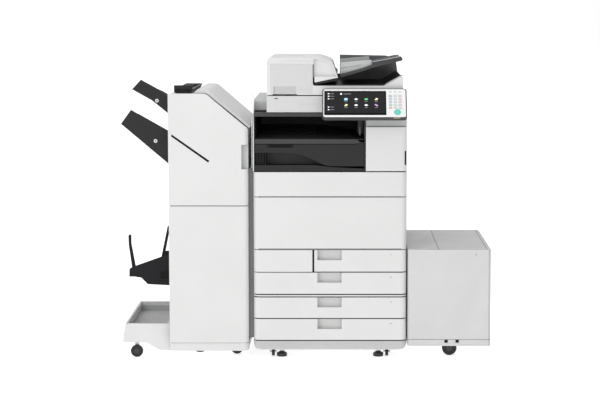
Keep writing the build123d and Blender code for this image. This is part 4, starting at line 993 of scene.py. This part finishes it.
def add_finisher_base():
    """Base under the cabinet and the open-topped outrigger beside it, with one cheek behind each wheel; grey
    inner faces and dark lines in its gaps are painted shade.
    """
    side = [(-846, 61), (-834, 139), (-652, 139), (-652, 28), (-693, 28), (-750, 61)]
    rear = [(-846, 63), (-834, 139), (-652, 139), (-652, 63)]
    parts = [front_prism("outrigger_front", side, (34, 44), WHITE, FINISHER, 2.5, 3),
             front_prism("outrigger_rear", rear, (548, 560), WHITE, FINISHER, 2.5, 3),
             # pale grey floor and far face inside the open outrigger, painted shade
             block("outrigger_floor", (-838, -652), (40, 555), (88, 100), PALE_GREY, FINISHER, 1),
             block("outrigger_far_face", (-836, -652), (546.5, 549), (99, 138), PALE_GREY, FINISHER, 0.5),
             block("outrigger_inner_end", (-664, -652), (40, 555), (63, 139), WHITE, FINISHER, 2)]
    end = [(-846, 63), (-834, 139), (-824, 139), (-835, 63)]
    parts.append(front_prism("outrigger_end", end, (35, 559), WHITE, FINISHER, 2, 3))
    parts.append(block("outrigger_rear_rim", (-835, -652), (544.5, 547.5), (121, 139), WHITE, FINISHER, 1))
    rings = []
    for z, inset in ((31, 4), (33, 1.4), (36, 0), (65, 0)):
        plan = plan_outline((-650 + inset, -329.5 - inset), (6 + inset, 624 - inset), (3, 20))
        rings.append([at(x, y, z) for x, y in plan])
    for z in (64, 32):
        rings.append([at(x, y, z) for x, y in plan_outline((-640, -340), (16, 614), (3, 16))])
    parts.append(loft("base_shell", rings, WHITE, FINISHER, 0.4))
    parts.append(block("base_plate", (-642, -338), (14, 616), (58, 65), WHITE, FINISHER, 1))
    for _, x, rows, top in FINISHER_WHEELS:
        for y in rows:
            parts.append(block("cheek", (x - 9, x + 9), (y + 15.5, y + 18.5), (17, top), ZINC, FINISHER, 1))
            parts.append(along((0, 1, 0), "axle", (x, y + 2, AXLE_HEIGHT), 16, 4, STEEL, FINISHER))
    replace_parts(joined("finisher_base_shell", parts, FINISHER), "finisher_base")
    # dark lines in the gaps above the base and beside the outrigger, painted shade
    block("finisher_base_line", (-649, -331), (4.5, 8), (64.2, 66.4), TUB_GREY, FINISHER, 0.3)
    block("outrigger_joint_line", (-653.5, -650.5), (33.5, 36), (64, 262), TUB_GREY, FINISHER, 0.3)
    for k in range(7):
        odd = k % 2
        block(f"bin_rib_{k + 1}", (-826 + 26 * k, -821 + 26 * k), (44, 56 + 6 * odd), (101, 136 + 2 * odd),
              (PALE_GREY, MID_GREY)[odd], FINISHER, 1)


def add_stacking_trays():
    """Black stacking trays: the front wall stands higher than the ribbed bed behind it."""
    upper = ([(-766, 1130), (-802, 1091), (-722, 1046), (-655, 992), (-655, 1060), (-706, 1097)],
             [(-788, 1097), (-794, 1090), (-720, 1049), (-655, 996), (-655, 1026), (-712, 1062)])
    lower = ([(-805, 1009), (-846, 952), (-655, 790), (-655, 920)],
             [(-826, 967), (-838, 952), (-655, 798), (-655, 870)])
    for label, (front, bed), y in (("upper", upper, (80, 470)), ("lower", lower, (60, 490))):
        node = f"finisher_{label}_tray"
        body = BODY_OF[node]
        parts = [front_prism("tray_front", front, (y[0], y[0] + 9), BLACK, body, 1.4, 3),
                 front_prism("tray_bed", bed, (y[0] + 8, y[1]), BLACK_MATTE, body, 2, 3)]
        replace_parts(joined(f"{node}_moulding", parts, body), node)


def add_booklet_tray():
    """Black booklet tray: a high front wall, a low bed behind it, a stopper finger and a press arm."""
    front = [(-826, 346), (-823, 352), (-801, 362), (-694, 400), (-650, 415), (-650, 281), (-750, 286),
             (-781, 317), (-826, 318)]
    bed = [(-800, 314), (-694, 350), (-650, 362), (-650, 286), (-748, 291), (-779, 312)]
    tray = [front_prism("booklet_front", front, (120, 131), BLACK_MATTE, FINISHER, 1.2, 3),
            front_prism("booklet_bed", bed, (130, 420), BLACK_MATTE, FINISHER, 2, 3),
            block("booklet_bracket", (-684, -655), (133, 150), (394, 422), BLACK_MATTE, FINISHER, 2)]
    tray.append(front_prism("booklet_pocket", [(-699, 309), (-697, 336), (-652, 349), (-652, 309)],
                            (119.2, 121), BLACK_DEEP, FINISHER, 0.3))
    finger = front_prism("finger", [(-830, 485), (-828, 488), (-822, 488), (-820, 485), (-820, 452),
                                    (-803, 356), (-803, 346), (-815, 346), (-829, 448)],
                         (134, 158), BLACK_MATTE, FINISHER, 1.2, 3)
    arm = front_prism("arm", [(-671, 521), (-661, 521), (-685, 402), (-685, 393), (-697, 393), (-696, 402)],
                      (160, 186), BLACK_MATTE, FINISHER, 1.2, 3)
    for node, name, parts in (("booklet_tray", "booklet_tray_moulding", tray),
                              ("booklet_stopper", "booklet_stopper_moulding", [finger]),
                              ("booklet_press_arm", "booklet_press_moulding", [arm])):
        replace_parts(joined(name, parts, BODY_OF[node]), node)


# ---------------------------------------------------------------- paper deck
def add_deck():
    """Painted shade in the lid's seams, along the line above the deck's foot and in two slots; wheels, paper
    and side grip.
    """
    # dark strips in the lid's seams, painted shade
    for label, x in (("left", (438.6, 440.7)), ("right", (634.9, 637))):
        block(f"lid_seam_{label}", x, (4, 606), (446.6, 447.2), TUB_GREY, DECK, 0.1)
    block("lid_seam_front", (440, 636), (4.8, 6.4), (446.4, 447.1), TUB_GREY, DECK, 0.1)
    # grey line above the deck's foot, painted shade
    plan = plan_outline((313.9, 651), (-0.1, 610), (14, 14))
    prism("deck_base_line", [at(x, y, 78) for x, y in plan], Vector((0, 0, 2.6 * MM)), MID_GREY, DECK,
          0.0001, 1, angle=60)
    # black inserts in the two square slots, painted shade
    for x in (471, 516):
        block(f"deck_slot_{x}", (x - 6, x + 6), (2, 7.6), (67, 79), BLACK_DEEP, DECK, 0.5)
    wheels = [wheel(f"deck_wheel_{y}", (489, y, 30.8), (0, 1, 0), 30, 18, "deck_wheels") for y in (66, 520)]
    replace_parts(joined("deck_wheels_turned", wheels, "deck_wheels"), "deck_wheels")
    block("lid_notch_shade", (396, 450), (4, 9), (446.5, 447), PALE_GREY, DECK, 0.1)
    block("deck_paper", (470, 612), (130, 430), (96.2, 176), WHITE, "deck_plate", 0.8)
    side_prism("deck_grip", [(240, 300), (360, 300), (352, 330), (248, 330)], (650.4, 651), MID_GREY,
               DECK, 0.2)


paint_second_colours()
trim_shapes()
add_seams()
add_skirt()
add_feet()
add_casters()
add_digits()
add_output_trays()
add_column_details()
add_rear_details()
add_interior()
add_feeder()
add_panel()
add_screen()
tint_keys()
add_finisher()
add_finisher_base()
add_stacking_trays()
add_booklet_tray()
add_deck()
